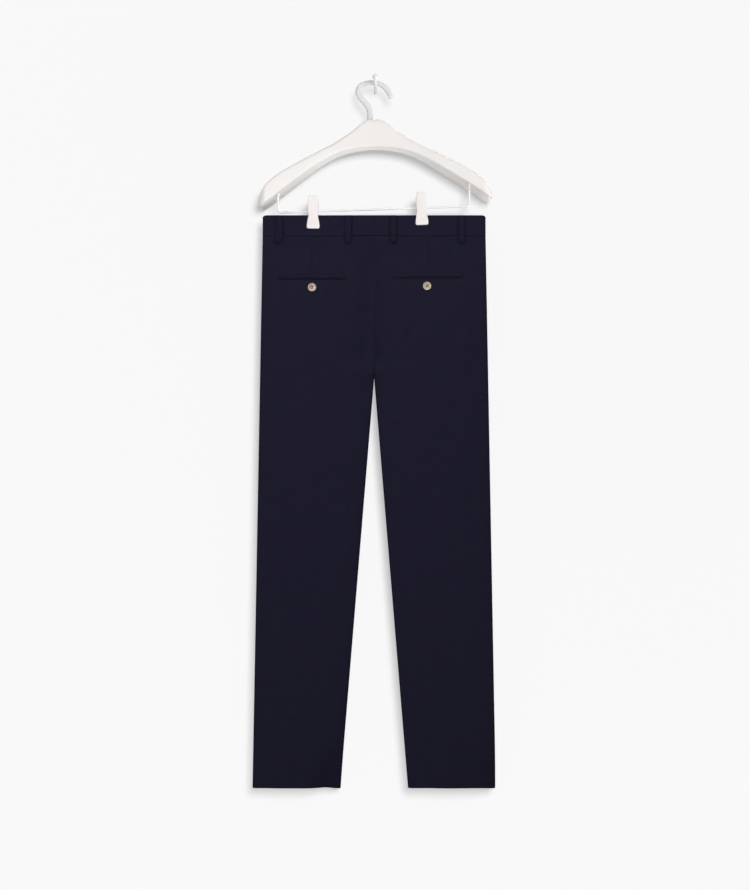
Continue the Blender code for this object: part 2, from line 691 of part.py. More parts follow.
def add_strip(name, face, xs, zs, surfaces, lift, wall, material, tilt=0.0):
    """A strip of cloth that lies on other pieces; lift gives its clearance at each row."""
    under, over = [], []
    middle = (xs[0] + xs[-1]) / 2
    for row, z in enumerate(zs):
        under_row, over_row = [], []
        for x in xs:
            height = z + tilt * (x - middle)
            y = outermost(surfaces, x, height, face) + face * lift[row]
            under_row.append((x, y, height))
            over_row.append((x, y + face * wall, height))
        under.append(under_row)
        over.append(over_row)
    at = (middle, under[0][0][1], zs[0])
    return add_wall(name, over, under, material, at)


def add_back_pockets():
    for side, centre, z, length, tilt, button_centre, button_z in BACK_POCKETS:
        word = SIDE_NAMES[side]
        panel = [f"back_panel_{word}"]
        count = round(length / LIP_STEP)
        xs = [CENTRE_X + centre + length * (step / count - 0.5) for step in range(count + 1)]
        for name, low, high in (("upper", SEAM_GAP / 2, LIP_HEIGHT), ("lower", -LIP_HEIGHT, -SEAM_GAP / 2)):
            zs = [z + high, z + (low + high) / 2, z + low]
            add_strip(f"welt_{word}_{name}", BACK, xs, zs, panel, [LAY_GAP] * 3, LIP_WALL,
                      "chino_twill", tilt)
        add_button(f"pocket_button_{word}", BACK, CENTRE_X + button_centre, button_z, panel)


def add_belt_loops():
    top = WAIST_TOP - LOOP_TOP_INSET
    for name, face, centre, lift, flare in BELT_LOOPS:
        word = SIDE_NAMES[RIGHT if centre > 0 else LEFT]
        panels = {BACK: f"back_panel_{word}", FRONT: f"front_panel_{word}"}
        surfaces = [f"waistband_{word}", panels[face]]
        low = waist_dip(face, centre, 0.0)
        length = top - (WAIST_SEAM - LOOP_BELOW_SEAM)
        under, over = [], []
        for row in range(LOOP_ROWS):
            along = row / (LOOP_ROWS - 1)
            z = top - low - along * length
            half = (LOOP_WIDTH + flare * ease(along, LOOP_FLARE_FROM, LOOP_FLARE_FULL)) / 2
            arch = math.sin(math.pi * min(along / LOOP_ARCH_END, 1.0))**LOOP_ARCH_POWER
            under_row, over_row = [], []
            base = max(face * outermost(surfaces, CENTRE_X + centre + step, z, face)
                       for step in (-half, 0.0, half))
            for step in (-half, -0.5 * half, 0.5 * half, half):
                crown = LOOP_CROWN * (1.0 - (step / half)**2)
                y = face * (base + LAY_GAP + (lift - LAY_GAP) * arch + crown)
                under_row.append((CENTRE_X + centre + step, y, z))
                over_row.append((CENTRE_X + centre + step, y + face * LOOP_WALL, z))
            under.append(under_row)
            over.append(over_row)
        add_wall(name, over, under, "chino_twill", under[0][0])


def add_button(name, face, x, z, surfaces):
    """A four-hole button with a raised rim, its axis along Y."""
    around = [(0.0, 0.0)] + [(BUTTON_REST_RADIUS * math.cos(angle), BUTTON_REST_RADIUS * math.sin(angle))
                             for angle in np.radians(range(0, 360, 45))]
    seat = face * max(face * outermost(surfaces, x + dx, z + dz, face) for dx, dz in around)
    seat += face * SEAM_GAP
    angles = np.linspace(0.0, 2 * math.pi, BUTTON_SIDES, endpoint=False)
    rings = [[(x + radius * math.cos(angle), seat + face * height, z + radius * math.sin(angle))
              for angle in angles] for radius, height in BUTTON_PROFILE]
    button = add_loft(name, rings, "button_horn", (x, seat, z))
    for index, (dx, dz) in enumerate(((1, 1), (1, -1), (-1, -1), (-1, 1))):
        hole_x, hole_z = x + dx * BUTTON_HOLE_OFFSET, z + dz * BUTTON_HOLE_OFFSET
        pin = round_rings((hole_x, seat - face * CUT_PAST, hole_z),
                          (hole_x, seat + face * (BUTTON_HEIGHT + CUT_PAST), hole_z),
                          BUTTON_HOLE_RADIUS, sides=8)
        cut(button, add_loft(f"{name}_hole_{index}", pin, "button_horn", (hole_x, seat, hole_z)))


# ---------------------------------------------------------------- the hanger
def rolled(x, z):
    """Turn a point of the hanger body by its roll, and place it."""
    up = z - HANGER_ROLL_Z
    return (HANGER_X + x * math.cos(HANGER_ROLL) - up * math.sin(HANGER_ROLL),
            HANGER_ROLL_Z + x * math.sin(HANGER_ROLL) + up * math.cos(HANGER_ROLL))


def hanger_ring(x):
    distance, side = abs(x), RIGHT if x > 0 else LEFT
    top = smooth_column(ARM_PROFILE, 1, distance)
    bottom = smooth_column(ARM_PROFILE, 2, distance) + side * ARM_SKEW * ease(distance, SKEW_FROM, SKEW_FULL)
    front, rear, drop = (smooth_column(ARM_DEPTHS, column, distance) for column in (1, 2, 3))
    past = max(0.0, distance - ARM_END + END_ROUND) / END_ROUND
    keep = math.sqrt(1.0 - END_NARROWING * past**2)
    middle = (front + rear) / 2
    front, rear = middle + (front - middle) * keep, middle + (rear - middle) * keep
    bottom = min(bottom, top - END_HEIGHT)
    corners = ((front, bottom), (front, top), (rear, top), (rear, bottom - drop * keep))
    ring = rounded_ring(corners, (BOTTOM_ROUND, TOP_ROUND, TOP_ROUND, BOTTOM_ROUND))
    points = []
    for y, z in ring:
        placed_x, placed_z = rolled(x, z)
        points.append((placed_x, y, placed_z))
    return points


def add_hanger_body():
    stations = [-x for x in reversed(ARM_STATIONS[1:])] + list(ARM_STATIONS)
    body = add_loft("hanger_body", [hanger_ring(float(x)) for x in stations], "hanger_plastic",
                    (HANGER_X, HOOK_Y, HANGER_ROLL_Z))
    feet = []
    for index, (x, z) in enumerate((BAR_LEFT, BAR_RIGHT)):
        hit = SURFACES["hanger_body"].ray_cast(Vector((x, MIDDLE_Y, z)) * MM, Vector((0, 0, 1)))[0]
        underside = hit.z / MM
        feet.append(underside + SOCKET_DEPTH - FOOT_CLEARANCE)
        pin = round_rings((x, MIDDLE_Y, underside - SOCKET_DEPTH), (x, MIDDLE_Y, underside + SOCKET_DEPTH),
                          BAR_RADIUS + SEAM_GAP, sides=16)
        cut(body, add_loft(f"bar_socket_{index}", pin, "hanger_plastic", (x, MIDDLE_Y, underside)))
    return feet


def add_bar(feet):
    """The wire: two legs that go up into the body, and the bar that the clips slide on."""
    corners = []
    for (x, z), (other_x, other_z), foot in ((BAR_LEFT, BAR_RIGHT, feet[0]), (BAR_RIGHT, BAR_LEFT, feet[1])):
        corner = Vector((x, MIDDLE_Y, z))
        along = (Vector((other_x, MIDDLE_Y, other_z)) - corner).normalized()
        start, end = corner + Vector((0, 0, BAR_BEND)), corner + along * BAR_BEND
        bend = [(1 - s)**2 * start + 2 * s * (1 - s) * corner + s**2 * end
                for s in np.linspace(0.0, 1.0, 6)]
        corners.append([Vector((x, MIDDLE_Y, foot))] + bend)
    add_wire("hanger_bar", corners[0] + corners[1][::-1], BAR_RADIUS, "white_wire")


def hook_ring(x, z, way, half_width, half_depth):
    ring = []
    for angle in np.linspace(0.0, 2 * math.pi, 12, endpoint=False):
        across, deep = half_width * math.cos(angle), half_depth * math.sin(angle)
        ring.append((x - way[1] * across, HOOK_Y + deep, z + way[0] * across))
    return ring


def add_hook():
    """A flat curved band with a rounded tip."""
    path = smooth_path(HOOK_PATH, HOOK_STEPS)
    rings = []
    for index, (x, z, half_width) in enumerate(path):
        before, after = path[max(index - 1, 0)], path[min(index + 1, len(path) - 1)]
        way = np.array([after[0] - before[0], after[1] - before[1]])
        way /= np.linalg.norm(way)
        if index == 0:
            way = np.array([0.0, 1.0])
        rings.append(hook_ring(x, z, way, half_width, HOOK_HALF_DEPTH))
    x, z, half_width = path[-1]
    for past in HOOK_TIP_STEPS:
        share = math.sqrt(1.0 - past**2)
        rings.append(hook_ring(x + way[0] * HOOK_TIP * past, z + way[1] * HOOK_TIP * past, way,
                               half_width * share, HOOK_HALF_DEPTH * share))
    add_loft("hanger_hook", rings, "hook_plastic", (HANGER_X, HOOK_Y, 0.0))


def add_clips():
    bar_slope = (BAR_RIGHT[1] - BAR_LEFT[1]) / (BAR_RIGHT[0] - BAR_LEFT[0])
    for side, x, lean in CLIPS:
        bar_z = BAR_LEFT[1] + bar_slope * (x - BAR_LEFT[0])
        word = SIDE_NAMES[side]
        for face, jaw in ((BACK, "front"), (FRONT, "rear")):
            rings = []
            for up, half_width, inner, wall in JAW_PROFILE:
                corners = ((-half_width, inner), (half_width, inner),
                           (half_width, inner + wall), (-half_width, inner + wall))
                ring = rounded_ring(corners, (0.3, 0.3, JAW_ROUND, JAW_ROUND), steps=1)
                rings.append([(x + across * math.cos(lean) - up * math.sin(lean), MIDDLE_Y + face * deep,
                               bar_z + across * math.sin(lean) + up * math.cos(lean))
                              for across, deep in ring])
            add_loft(f"clip_{word}_{jaw}_jaw", rings, "hanger_plastic", (x, MIDDLE_Y, bar_z))
        along = np.array([1.0, 0.0, bar_slope]) / math.hypot(1.0, bar_slope)
        upward = np.array([-along[2], 0.0, along[0]])
        rings = []
        for angle in np.linspace(0.0, 2 * math.pi, 16, endpoint=False):
            out = np.array([0.0, 1.0, 0.0]) * math.sin(angle) + upward * math.cos(angle)
            rings.append([np.array([x, MIDDLE_Y, bar_z]) + out * radius + along * step * BARREL_LENGTH / 2
                          for radius, step in ((BAR_RADIUS + SEAM_GAP, -1), (BARREL_RADIUS, -1),
                                               (BARREL_RADIUS, 1), (BAR_RADIUS + SEAM_GAP, 1))])
        add_loft(f"clip_{word}_barrel", rings, "hanger_plastic", (x, MIDDLE_Y, bar_z), closed=True)


def add_wall_hook():
    """A round rod out of the wall, turned up in front of the hanger's hook."""
    straight = WALL_HOOK_REACH - WALL_HOOK_BEND
    path = [(0.0, 0.0, 0.0), (0.0, -straight, 0.0)]
    for angle in np.radians(range(15, 91, 15)):
        path.append((0.0, -straight - WALL_HOOK_BEND * math.sin(angle),
                     WALL_HOOK_BEND * (1.0 - math.cos(angle))))
    shares = [1.0] * len(path)
    dome = WALL_HOOK_TOP - WALL_HOOK_RADIUS
    for past in DOME_STEPS:
        path.append((0.0, -WALL_HOOK_REACH, dome + WALL_HOOK_RADIUS * past))
        shares.append(math.sqrt(1.0 - past**2))
    add_wire("wall_hook", path, WALL_HOOK_RADIUS, "hook_metal", shares)


def build():
    clear_scene()
    add_material("chino_twill", (0.0100, 0.0090, 0.0210), 0.9)
    add_material("button_horn", (0.52, 0.44, 0.35), 0.35)
    add_material("zip_tape", (0.012, 0.012, 0.022), 0.85)
    add_material("zip_metal", (0.62, 0.60, 0.56), 0.35, 1.0)
    add_material("hanger_plastic", (0.86, 0.84, 0.81), 0.4)
    add_material("hook_plastic", (0.80, 0.80, 0.79), 0.4)
    add_material("white_wire", (0.84, 0.83, 0.81), 0.35)
    add_material("hook_metal", (0.80, 0.79, 0.77), 0.3)
    add_panels()
    add_pocket_sides()
    add_waistbands()
    add_zip()
    add_belt_loops()
    add_back_pockets()
    tab_z = WAIST_TOP - WAISTBAND_HEIGHT / 2 - FRONT_DIP
    add_button("waist_button", FRONT, CENTRE_X + WAIST_BUTTON_FROM_CENTRE, tab_z, ["waistband_left"])
    add_bar(add_hanger_body())
    add_hook()
    add_clips()
    add_wall_hook()


build()
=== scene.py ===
import math

import bmesh
import bpy
import numpy as np
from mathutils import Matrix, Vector
from mathutils.bvhtree import BVHTree


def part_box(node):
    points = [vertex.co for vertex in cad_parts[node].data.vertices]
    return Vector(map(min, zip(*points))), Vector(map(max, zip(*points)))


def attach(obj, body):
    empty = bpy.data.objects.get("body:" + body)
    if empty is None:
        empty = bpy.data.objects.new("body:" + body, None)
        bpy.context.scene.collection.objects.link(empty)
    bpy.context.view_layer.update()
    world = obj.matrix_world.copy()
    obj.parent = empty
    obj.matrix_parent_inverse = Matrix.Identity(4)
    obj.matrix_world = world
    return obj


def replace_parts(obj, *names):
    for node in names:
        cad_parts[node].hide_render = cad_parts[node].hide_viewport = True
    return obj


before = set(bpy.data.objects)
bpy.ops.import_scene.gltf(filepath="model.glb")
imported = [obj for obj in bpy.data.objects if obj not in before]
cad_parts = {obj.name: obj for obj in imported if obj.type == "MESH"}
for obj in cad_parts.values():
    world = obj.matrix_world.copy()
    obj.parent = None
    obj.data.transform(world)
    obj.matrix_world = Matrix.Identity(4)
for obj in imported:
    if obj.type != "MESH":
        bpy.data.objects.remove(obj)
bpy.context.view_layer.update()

# Chino trousers hung by the waistband from a clip hanger on a wall hook: the looks of every piece.
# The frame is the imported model's: the wall is y = 0, the back of the trousers faces -Y, +Z is up.
# Sizes are in millimetres until a mesh is made. The cloth is worked out as the solids are: a row
# is a half profile, with the distance from the centre line and the depth from the middle plane.

MM = 0.001
SEAM_GAP = 0.3                   # between pieces that touch
SEWN_GAP = -0.15                 # sewn edges run into each other by this much
LAY_GAP = 0.4                    # under a strip that lies on the cloth
BACK, FRONT = -1, 1
LEFT, RIGHT = -1, 1
SIDE_NAMES = {LEFT: "left", RIGHT: "right"}

# ---------------------------------------------------------------- sizes of the cut and the hang
CENTRE_X = -2.4
MIDDLE_Y = -42.0
WAIST_TOP = -244.8
WAISTBAND_HEIGHT = 40.0
WAIST_SEAM = WAIST_TOP - WAISTBAND_HEIGHT
RISE = 268.0
SIDE_LENGTH = 1047.3
HALF_WAIST = 211.8
SIDE_SPREAD = 0.0184
INSEAM_SPREAD = 0.0827
WALL = 1.2
HEM_HEIGHT = 30.0
HEM_FOLD_RADIUS = 1.3
WAISTBAND_WALL = 2.2
BAND_STITCH = 10.5               # a row of stitches below its top edge
BAND_CUT_FROM = 300.0            # its twill lies as if it were cut from above the panels
FRONT_DIP = 12.0
DIP_FADE = 150.0
CLIP_FROM_CENTRE = {LEFT: 115.7, RIGHT: 90.2}
CLIP_GRIP = 15.0                 # half the width that a clip presses flat

# Half depth of the garment in the middle of each leg
#             below the seam, back, front
DEPTHS = np.array([(0.0, 10.5, 9.5),
                   (110.0, 17.0, 13.5),
                   (200.0, 17.5, 14.0),
                   (268.0, 15.5, 13.5),
                   (420.0, 13.5, 13.0),
                   (640.0, 13.0, 12.5),
                   (850.0, 12.0, 11.5),
                   (1047.3, 10.0, 10.0)])
DEPTH_COLUMN = {BACK: 1, FRONT: 2}
# Columns of points across a panel, how clear of those at its dart and loops, and the last ones
PANEL_COLUMNS = {BACK: 112, FRONT: 84}
CLEAR_OF_DART, CLEAR_OF_LOOP = 0.014, 0.004
NEAR_CENTRE = (1.0 - 0.004, 1.0 - 0.010)
CENTRE_SHARE = {BACK: 0.80, FRONT: 0.88}         # depth at the centre line, as a share of the leg's
EDGE_POWER = 0.75                # how squarely a leg rounds at its edges
CROTCH_ROUND = 75.0              # height over which the seat closes down to the crotch
SADDLE_RISE = 55.0               # and over which the two legs become one form
SEAT_RELAX = 120.0               # below this the clips' grip no longer shows

# Half depth of the waistband
#                below top, at the clip, at the centre, near the side
WAIST_LEVELS = np.array([(0.0, 2.75, 7.5, 5.0),
                         (28.5, 2.75, 8.4, 5.6),
                         (39.85, 5.0, 10.0, 7.0)])
SEAM_LEVEL = (4.5, 9.5, 6.5)     # the same along the waist seam
FOLD_RADIUS = 3.7                # of the fold at each side
TOP_HOLLOW = 0.21                # how much lower the top edge lies for each mm that it bulges
CORNER_DROP, CORNER_REACH = 2.6, 7.0             # the top edge turns down a little at the sides
CORNER_FADE = 12.0               # and lower down the band no longer does
BAND_GROOVE, BAND_GROOVE_WIDTH = 0.7, 2.2        # its seam at the centre back

# Broad folds of each face, which the solids have too
#           x, below seam, half width, half length, lean, height
FOLDS = {
    BACK: ((-120.0, 90.0, 34.0, 90.0, 0.10, 1.0),
           (62.0, 150.0, 30.0, 110.0, -0.35, 1.1),
           (-70.0, 330.0, 26.0, 90.0, 0.55, -1.3),
           (78.0, 345.0, 28.0, 95.0, -0.50, -1.2),
           (-150.0, 560.0, 38.0, 150.0, -0.12, 1.0),
           (165.0, 610.0, 36.0, 170.0, 0.14, 1.1),
           (-125.0, 820.0, 34.0, 150.0, 0.10, -0.9),
           (138.0, 860.0, 34.0, 140.0, -0.10, -0.8)),
    FRONT: ((-100.0, 170.0, 30.0, 120.0, 0.25, 1.2),
            (105.0, 160.0, 30.0, 120.0, -0.25, 1.2),
            (-80.0, 340.0, 26.0, 80.0, 0.60, -1.2),
            (72.0, 350.0, 28.0, 85.0, -0.55, -1.2),
            (-140.0, 600.0, 34.0, 170.0, -0.10, 1.2),
            (150.0, 640.0, 34.0, 160.0, 0.10, 1.1))}
FOLDS_START, FOLDS_FULL = 20.0, 90.0

# Creases, finer than the folds: a trough goes in, a ridge stands out, and bend curves its line
#           x, below seam, half width, half length, lean, bend, height
CREASES = {
    BACK: ((-136.0, 118.0, 5.0, 13.0, 0.15, 1.5, -0.45),
           (-106.0, 112.0, 3.6, 15.0, -0.10, -1.0, -0.55),
           (-98.0, 117.0, 4.2, 17.0, -0.18, 1.4, 0.50),
           (-90.0, 110.0, 3.4, 12.0, -0.22, 0.8, -0.45),
           (-131.0, 55.0, 4.5, 20.0, 0.05, 1.0, 0.40),
           (-109.0, 52.0, 5.5, 22.0, -0.06, -1.2, 0.45),
           (-20.0, 38.0, 7.0, 26.0, 0.42, 2.0, -0.55),
           (-46.0, 24.0, 4.0, 16.0, 0.35, 1.0, -0.45),
           (28.0, 24.0, 5.0, 24.0, -0.40, -2.0, -0.65),
           (12.0, 46.0, 6.0, 34.0, -0.22, 1.5, -0.50),
           (150.0, 28.0, 4.0, 22.0, -0.46, -2.0, -0.75),
           (137.0, 58.0, 4.5, 18.0, -0.30, 1.4, -0.35),
           (118.0, 107.0, 4.0, 15.0, 0.22, 1.0, -0.45),
           (127.0, 112.0, 4.4, 17.0, 0.18, -1.2, 0.45),
           (88.0, 112.0, 5.0, 20.0, -0.16, 1.2, -0.40),
           (52.0, 90.0, 8.0, 40.0, -0.30, 3.0, 0.45),
           (-58.0, 205.0, 9.0, 55.0, 0.62, 6.0, -0.55),
           (50.0, 215.0, 9.0, 50.0, -0.66, -6.0, -0.55),
           (-36.0, 248.0, 6.0, 24.0, 1.10, 3.0, -0.50),
           (33.0, 252.0, 6.0, 22.0, -1.15, -3.0, -0.45),
           (-168.0, 250.0, 12.0, 80.0, -0.10, -5.0, 0.50),
           (172.0, 230.0, 12.0, 70.0, 0.12, 4.0, 0.45),
           (-112.0, 455.0, 10.0, 60.0, 0.32, 5.0, -0.40),
           (-60.0, 520.0, 8.0, 44.0, -0.55, 4.0, 0.40),
           (106.0, 500.0, 11.0, 66.0, -0.28, -5.0, -0.40),
           (186.0, 470.0, 7.0, 60.0, -0.06, 2.0, -0.45),
           (-192.0, 640.0, 9.0, 110.0, 0.03, 3.0, -0.55),
           (-96.0, 700.0, 10.0, 70.0, 0.20, -5.0, 0.35),
           (84.0, 720.0, 9.0, 66.0, -0.10, 5.0, -0.45),
           (196.0, 800.0, 9.0, 90.0, 0.03, -3.0, -0.45),
           (-158.0, 930.0, 11.0, 60.0, -0.12, 4.0, 0.35),
           (-91.0, 1042.0, 17.0, 48.0, -0.15, 0.0, -2.20),
           (96.0, 985.0, 14.0, 62.0, 0.14, -4.0, -0.60),
           (178.0, 1000.0, 12.0, 48.0, 0.10, 2.0, -0.50)),
    FRONT: ((-146.0, 60.0, 6.0, 34.0, 0.30, 2.0, -0.55),
            (148.0, 56.0, 6.0, 32.0, -0.34, -2.0, -0.55),
            (-76.0, 30.0, 5.0, 22.0, 0.20, 1.0, -0.50),
            (64.0, 34.0, 5.0, 24.0, -0.24, 1.4, -0.50),
            (-60.0, 120.0, 9.0, 46.0, 0.40, 4.0, 0.55),
            (58.0, 126.0, 9.0, 42.0, -0.44, -4.0, 0.50),
            (-50.0, 206.0, 9.0, 46.0, 0.80, 5.0, -0.70),
            (46.0, 212.0, 9.0, 42.0, -0.84, -5.0, -0.65),
            (-30.0, 246.0, 6.0, 20.0, 1.20, 2.0, -0.50),
            (32.0, 250.0, 6.0, 20.0, -1.10, -2.0, -0.50),
            (-160.0, 300.0, 12.0, 76.0, -0.14, -4.0, 0.50),
            (158.0, 290.0, 12.0, 70.0, 0.16, 4.0, 0.45),
            (-104.0, 470.0, 10.0, 60.0, 0.26, 5.0, -0.45),
            (112.0, 505.0, 10.0, 58.0, -0.30, -4.0, -0.45),
            (-70.0, 560.0, 8.0, 40.0, -0.50, 3.0, 0.40),
            (-186.0, 700.0, 9.0, 96.0, 0.02, 3.0, -0.50),
            (188.0, 680.0, 9.0, 100.0, -0.02, -3.0, -0.50),
            (-112.0, 880.0, 11.0, 70.0, 0.12, 4.0, 0.40),
            (120.0, 900.0, 11.0, 66.0, -0.14, -4.0, -0.40),
            (-92.0, 1000.0, 16.0, 50.0, -0.20, 2.0, -0.70),
            (100.0, 1008.0, 15.0, 46.0, 0.22, -2.0, -0.65))}
CREASE_GAIN = 3.0                # they are this many times as deep as the heights above

# A slight unevenness all over: waves with these lengths across and down, phase and height
#           across, down, phase, height
RIPPLES = ((61.0, 143.0, 0.4, 0.16),
           (83.0, -97.0, 1.9, 0.15),
           (-47.0, 211.0, 3.3, 0.12),
           (119.0, 67.0, 5.1, 0.11),
           (31.0, 173.0, 2.6, 0.06))

# The seat sinks between the two halves, steeper on its right: place, widths, depth, start and end
CLEFT_X, CLEFT_LEFT, CLEFT_RIGHT, CLEFT_DEPTH = -4.0, 25.0, 18.0, 10.0
CLEFT_FROM, CLEFT_FULL, CLEFT_LESS, CLEFT_END = -12.0, 90.0, 225.0, 268.0

# Corners of the hems that curl away to the front: x, below seam, half width, half length, how far
HEM_CURLS = ((-36.0, 1110.0, 52.0, 84.0, 46.0),
             (256.0, 1100.0, 40.0, 70.0, 22.0))
HEM_RISE, HEM_RISE_FROM = 1.4, 60.0     # the hem is cut a little higher at its middle
CURL_DROP = 0.37                 # how much longer the cloth looks there for each mm

# Puckers along a seam: wave lengths and heights, and how far they reach into the cloth
PUCKER_WAVES = ((23.0, 0.5, 0.16), (14.5, 2.1, 0.11), (37.0, 4.0, 0.14))
PUCKER_REACH, WAIST_PUCKER_REACH = 9.0, 16.0
GROOVE_WIDTH, GROOVE_DEPTH = 2.6, 0.6                    # the centre-back seam
WAIST_GROOVE, WAIST_GROOVE_WIDTH = 1.1, 2.2              # the cloth is drawn in under the waistband
# Seam allowances are pressed open under the cloth; the turned-up hem lies under it too
ALLOWANCE_WIDTH, ALLOWANCE_STEP, ALLOWANCE_SOFT = 13.0, 0.30, 1.5
HEM_STEP = 0.25

# Back darts, from the waist seam to the pocket
DART_FROM_CENTRE = {LEFT: 117.6, RIGHT: 103.4}
DART_LENGTH = 79.0
DART_GROOVE, DART_GROOVE_WIDTH = 0.75, 0.8
DART_SWELL, DART_SWELL_WIDTH = 0.35, 3.2

# Front pockets and fly
POCKET_WIDTH = 38.0
POCKET_DROP = 173.0              # where the opening ends, below the seam
POCKET_CURVE = 1.15
POCKET_UNDER = 16.0              # the side piece runs on so far under the front panel,
HIDDEN_INSET = 2.1               # this far below its face
POCKET_STITCH = 6.0
FACING_LENGTH = 167.0
FLY_LENGTH = 173.0
FLY_LAP, FLY_LAP_WIDTH = 5.0, 30.0               # over the centre line, and the cloth that it takes up
FLY_LIFT, FLY_LIFT_START, FLY_LIFT_WIDTH = 1.6, 13.0, 9.0
FLY_CURVE, FLY_RUN_OUT = 28.0, 21.0
FLY_STITCH = 33.0
FLY_TURN, FLY_TURN_LENGTH = 135.0, 40.0          # where its stitching turns in, and how long it takes
TAB_LENGTH = 28.0
TAB_START, TAB_RISE_WIDTH = 9.0, 8.0
TAB_LIFT = WAISTBAND_WALL + LAY_GAP
ZIP_HALF_WIDTH = 13.0
ZIP_TOP, ZIP_END = 8.0, 152.0
ZIP_INSET = 4.4
TAPE_WALL = 0.9
TOOTH_PITCH = 1.9

# Belt loops
#             name, face, from centre, lift, flare
BELT_LOOPS = (("belt_loop_back_1", BACK, -181.2, 4.0, 4.6),
              ("belt_loop_back_2", BACK, -49.1, 2.4, 0.0),
              ("belt_loop_back_3", BACK, 36.7, 2.4, 0.0),
              ("belt_loop_back_4", BACK, 165.6, 2.4, 0.0),
              ("belt_loop_front_1", FRONT, -152.0, 2.4, 0.0),
              ("belt_loop_front_2", FRONT, 152.0, 2.4, 0.0))
LOOP_WIDTH, LOOP_WALL = 12.5, 1.6
LOOP_TOP_INSET, LOOP_BELOW_SEAM = 1.0, 14.4      # from the top edge to below the waist seam
LOOP_FLARE_FROM, LOOP_FLARE_FULL = 0.3, 0.9
LOOP_ARCH_END, LOOP_ARCH_POWER = 0.94, 0.8
LOOP_CROWN = 0.9
LOOP_PRESS, LOOP_PRESS_WIDTH = 1.5, 1.5          # the cloth is drawn in along the sides of a loop,
LOOP_PRESS_BESIDE = 0.9                          # so far from its edge
LOOP_COLUMNS, LOOP_ROWS = 11, 30
LOOP_STITCH_COLUMNS, LOOP_STITCH_ROWS = (2, 8), (1, 28)

# Back pockets
#               side, from centre, z, length, tilt
BACK_POCKETS = ((LEFT, -118.0, -364.0, 126.0, 0.0),
                (RIGHT, 102.6, -361.3, 130.0, 0.006))
#                 side, from centre, z
POCKET_BUTTONS = ((LEFT, -116.8, -384.3),
                  (RIGHT, 99.7, -381.7))
LIP_HEIGHT = 4.5
LIP_WALL = 0.9
LIP_PUFF, LIP_END = 0.6, 8.0             # how far they swell, but not so near their ends
LIP_ROWS = 9
LIP_GAP = 0.1
SLIT_DROP, SLIT_HALF = -2.2, 0.25        # the slit lies low between the lips
BUTTONHOLE_LENGTH = 17.0
BUTTONHOLE_DROP = 5.2            # its middle lies this far below the button's
BUTTONHOLE_HALF = 0.45
EYELET_RADIUS = 1.9

# Buttons: radius and height from the seat
BUTTON_PROFILE = ((6.4, 0.0), (7.3, 0.25), (7.85, 0.8), (8.0, 1.45), (7.9, 2.05), (7.55, 2.5), (7.0, 2.66),
                  (6.5, 2.55), (6.1, 2.2), (5.6, 1.85), (4.6, 1.68), (2.4, 1.6))
BUTTON_SIDES = 56
BUTTON_SHARP = 35.0
THREAD_BAR = ((-1.0, 0.9), (-0.62, 1.85), (0.0, 1.85), (0.62, 1.85), (1.0, 0.9))     # from hole to hole
BUTTON_HOLE_RADIUS, BUTTON_HOLE_OFFSET = 0.9, 1.6
BUTTON_REST_RADIUS = 7.5         # it rests on the highest place of the cloth within this
WAIST_BUTTON_FROM_CENTRE = 13.0

STITCH_LENGTH, STITCH_PITCH = 2.5, 3.1
THREAD_WIDTH = 0.42
WHIP_LENGTH = 1.3                # the stitches round a buttonhole
RIB_PITCH, RIB_LEAN = 1.3, 27.0  # of the twill, as drawn
WAVE_SCALE = 0.314               # of a wave texture with one band to the metre

# ---------------------------------------------------------------- sizes of the hanger
HANGER_X, HANGER_ROLL_Z = -3.0, -60.0
HANGER_ROLL = math.radians(1.0)
ARM_END = 222.5
END_ROUND = 17.0
END_NARROWING = 0.9
END_HEIGHT = 5.0
ARM_SKEW = 4.2
SKEW_FROM, SKEW_FULL = 95.0, 205.0
#                     from centre, top, bottom of the front face
ARM_PROFILE = np.array([(0.0, -62.4, -114.3),
                        (12.0, -62.8, -114.5),
                        (20.0, -67.1, -115.0),
                        (30.0, -74.3, -116.2),
                        (45.0, -86.4, -118.6),
                        (60.0, -96.3, -122.2),
                        (80.0, -108.6, -129.6),
                        (100.0, -118.7, -139.8),
                        (120.0, -128.9, -152.1),
                        (140.0, -139.3, -165.3),
                        (160.0, -149.6, -178.9),
                        (180.0, -161.1, -192.7),
                        (200.0, -176.6, -207.0),
                        (210.0, -187.0, -213.5),
                        (217.0, -198.0, -217.0),
                        (222.5, -207.0, -214.0)])
#                    from centre, front face, rear face, drop of the rear lower edge
ARM_DEPTHS = np.array([(0.0, -46.0, -22.0, 1.5),
                       (60.0, -47.5, -19.0, 2.2),
                       (140.0, -51.5, -9.0, 3.6),
                       (222.5, -54.0, -5.0, 4.0)])
TOP_ROUND, BOTTOM_ROUND = 7.5, 3.4
HOOK_Y = -34.0
HOOK_HALF_DEPTH = 3.4
#                     x, z, half width of the band
HOOK_PATH = np.array([(-11.0, -61.8, 5.6),
                      (-10.6, -46.0, 5.5),
                      (-16.6, -32.4, 5.5),
                      (-26.4, -21.0, 5.5),
                      (-32.2, -9.5, 5.5),
                      (-30.4, 0.6, 5.2),
                      (-21.4, 7.4, 4.9),
                      (-8.6, 10.0, 4.6),
                      (4.6, 8.6, 4.6),
                      (16.0, 2.9, 5.0),
                      (24.2, -5.9, 5.5),
                      (29.2, -15.6, 5.3)])
HOOK_TIP = 4.5
HOOK_OVAL = 0.85                 # 1 is an ellipse; less is flatter on its faces
BAR_RADIUS = 2.0
BAR_BEND = 8.0
BAR_SAG = 2.8                    # the wire hangs this much lower than the corners below say
BAR_INTO_BODY = 6.0
ROD_SIDES = 28
BAR_LEFT = (-184.9, -236.8)
BAR_RIGHT = (178.3, -224.8)
COLLAR_RADIUS, COLLAR_HEIGHT = 3.4, 2.6
COLLAR_CLEAR, COLLAR_INTO_BODY = 0.15, 0.8
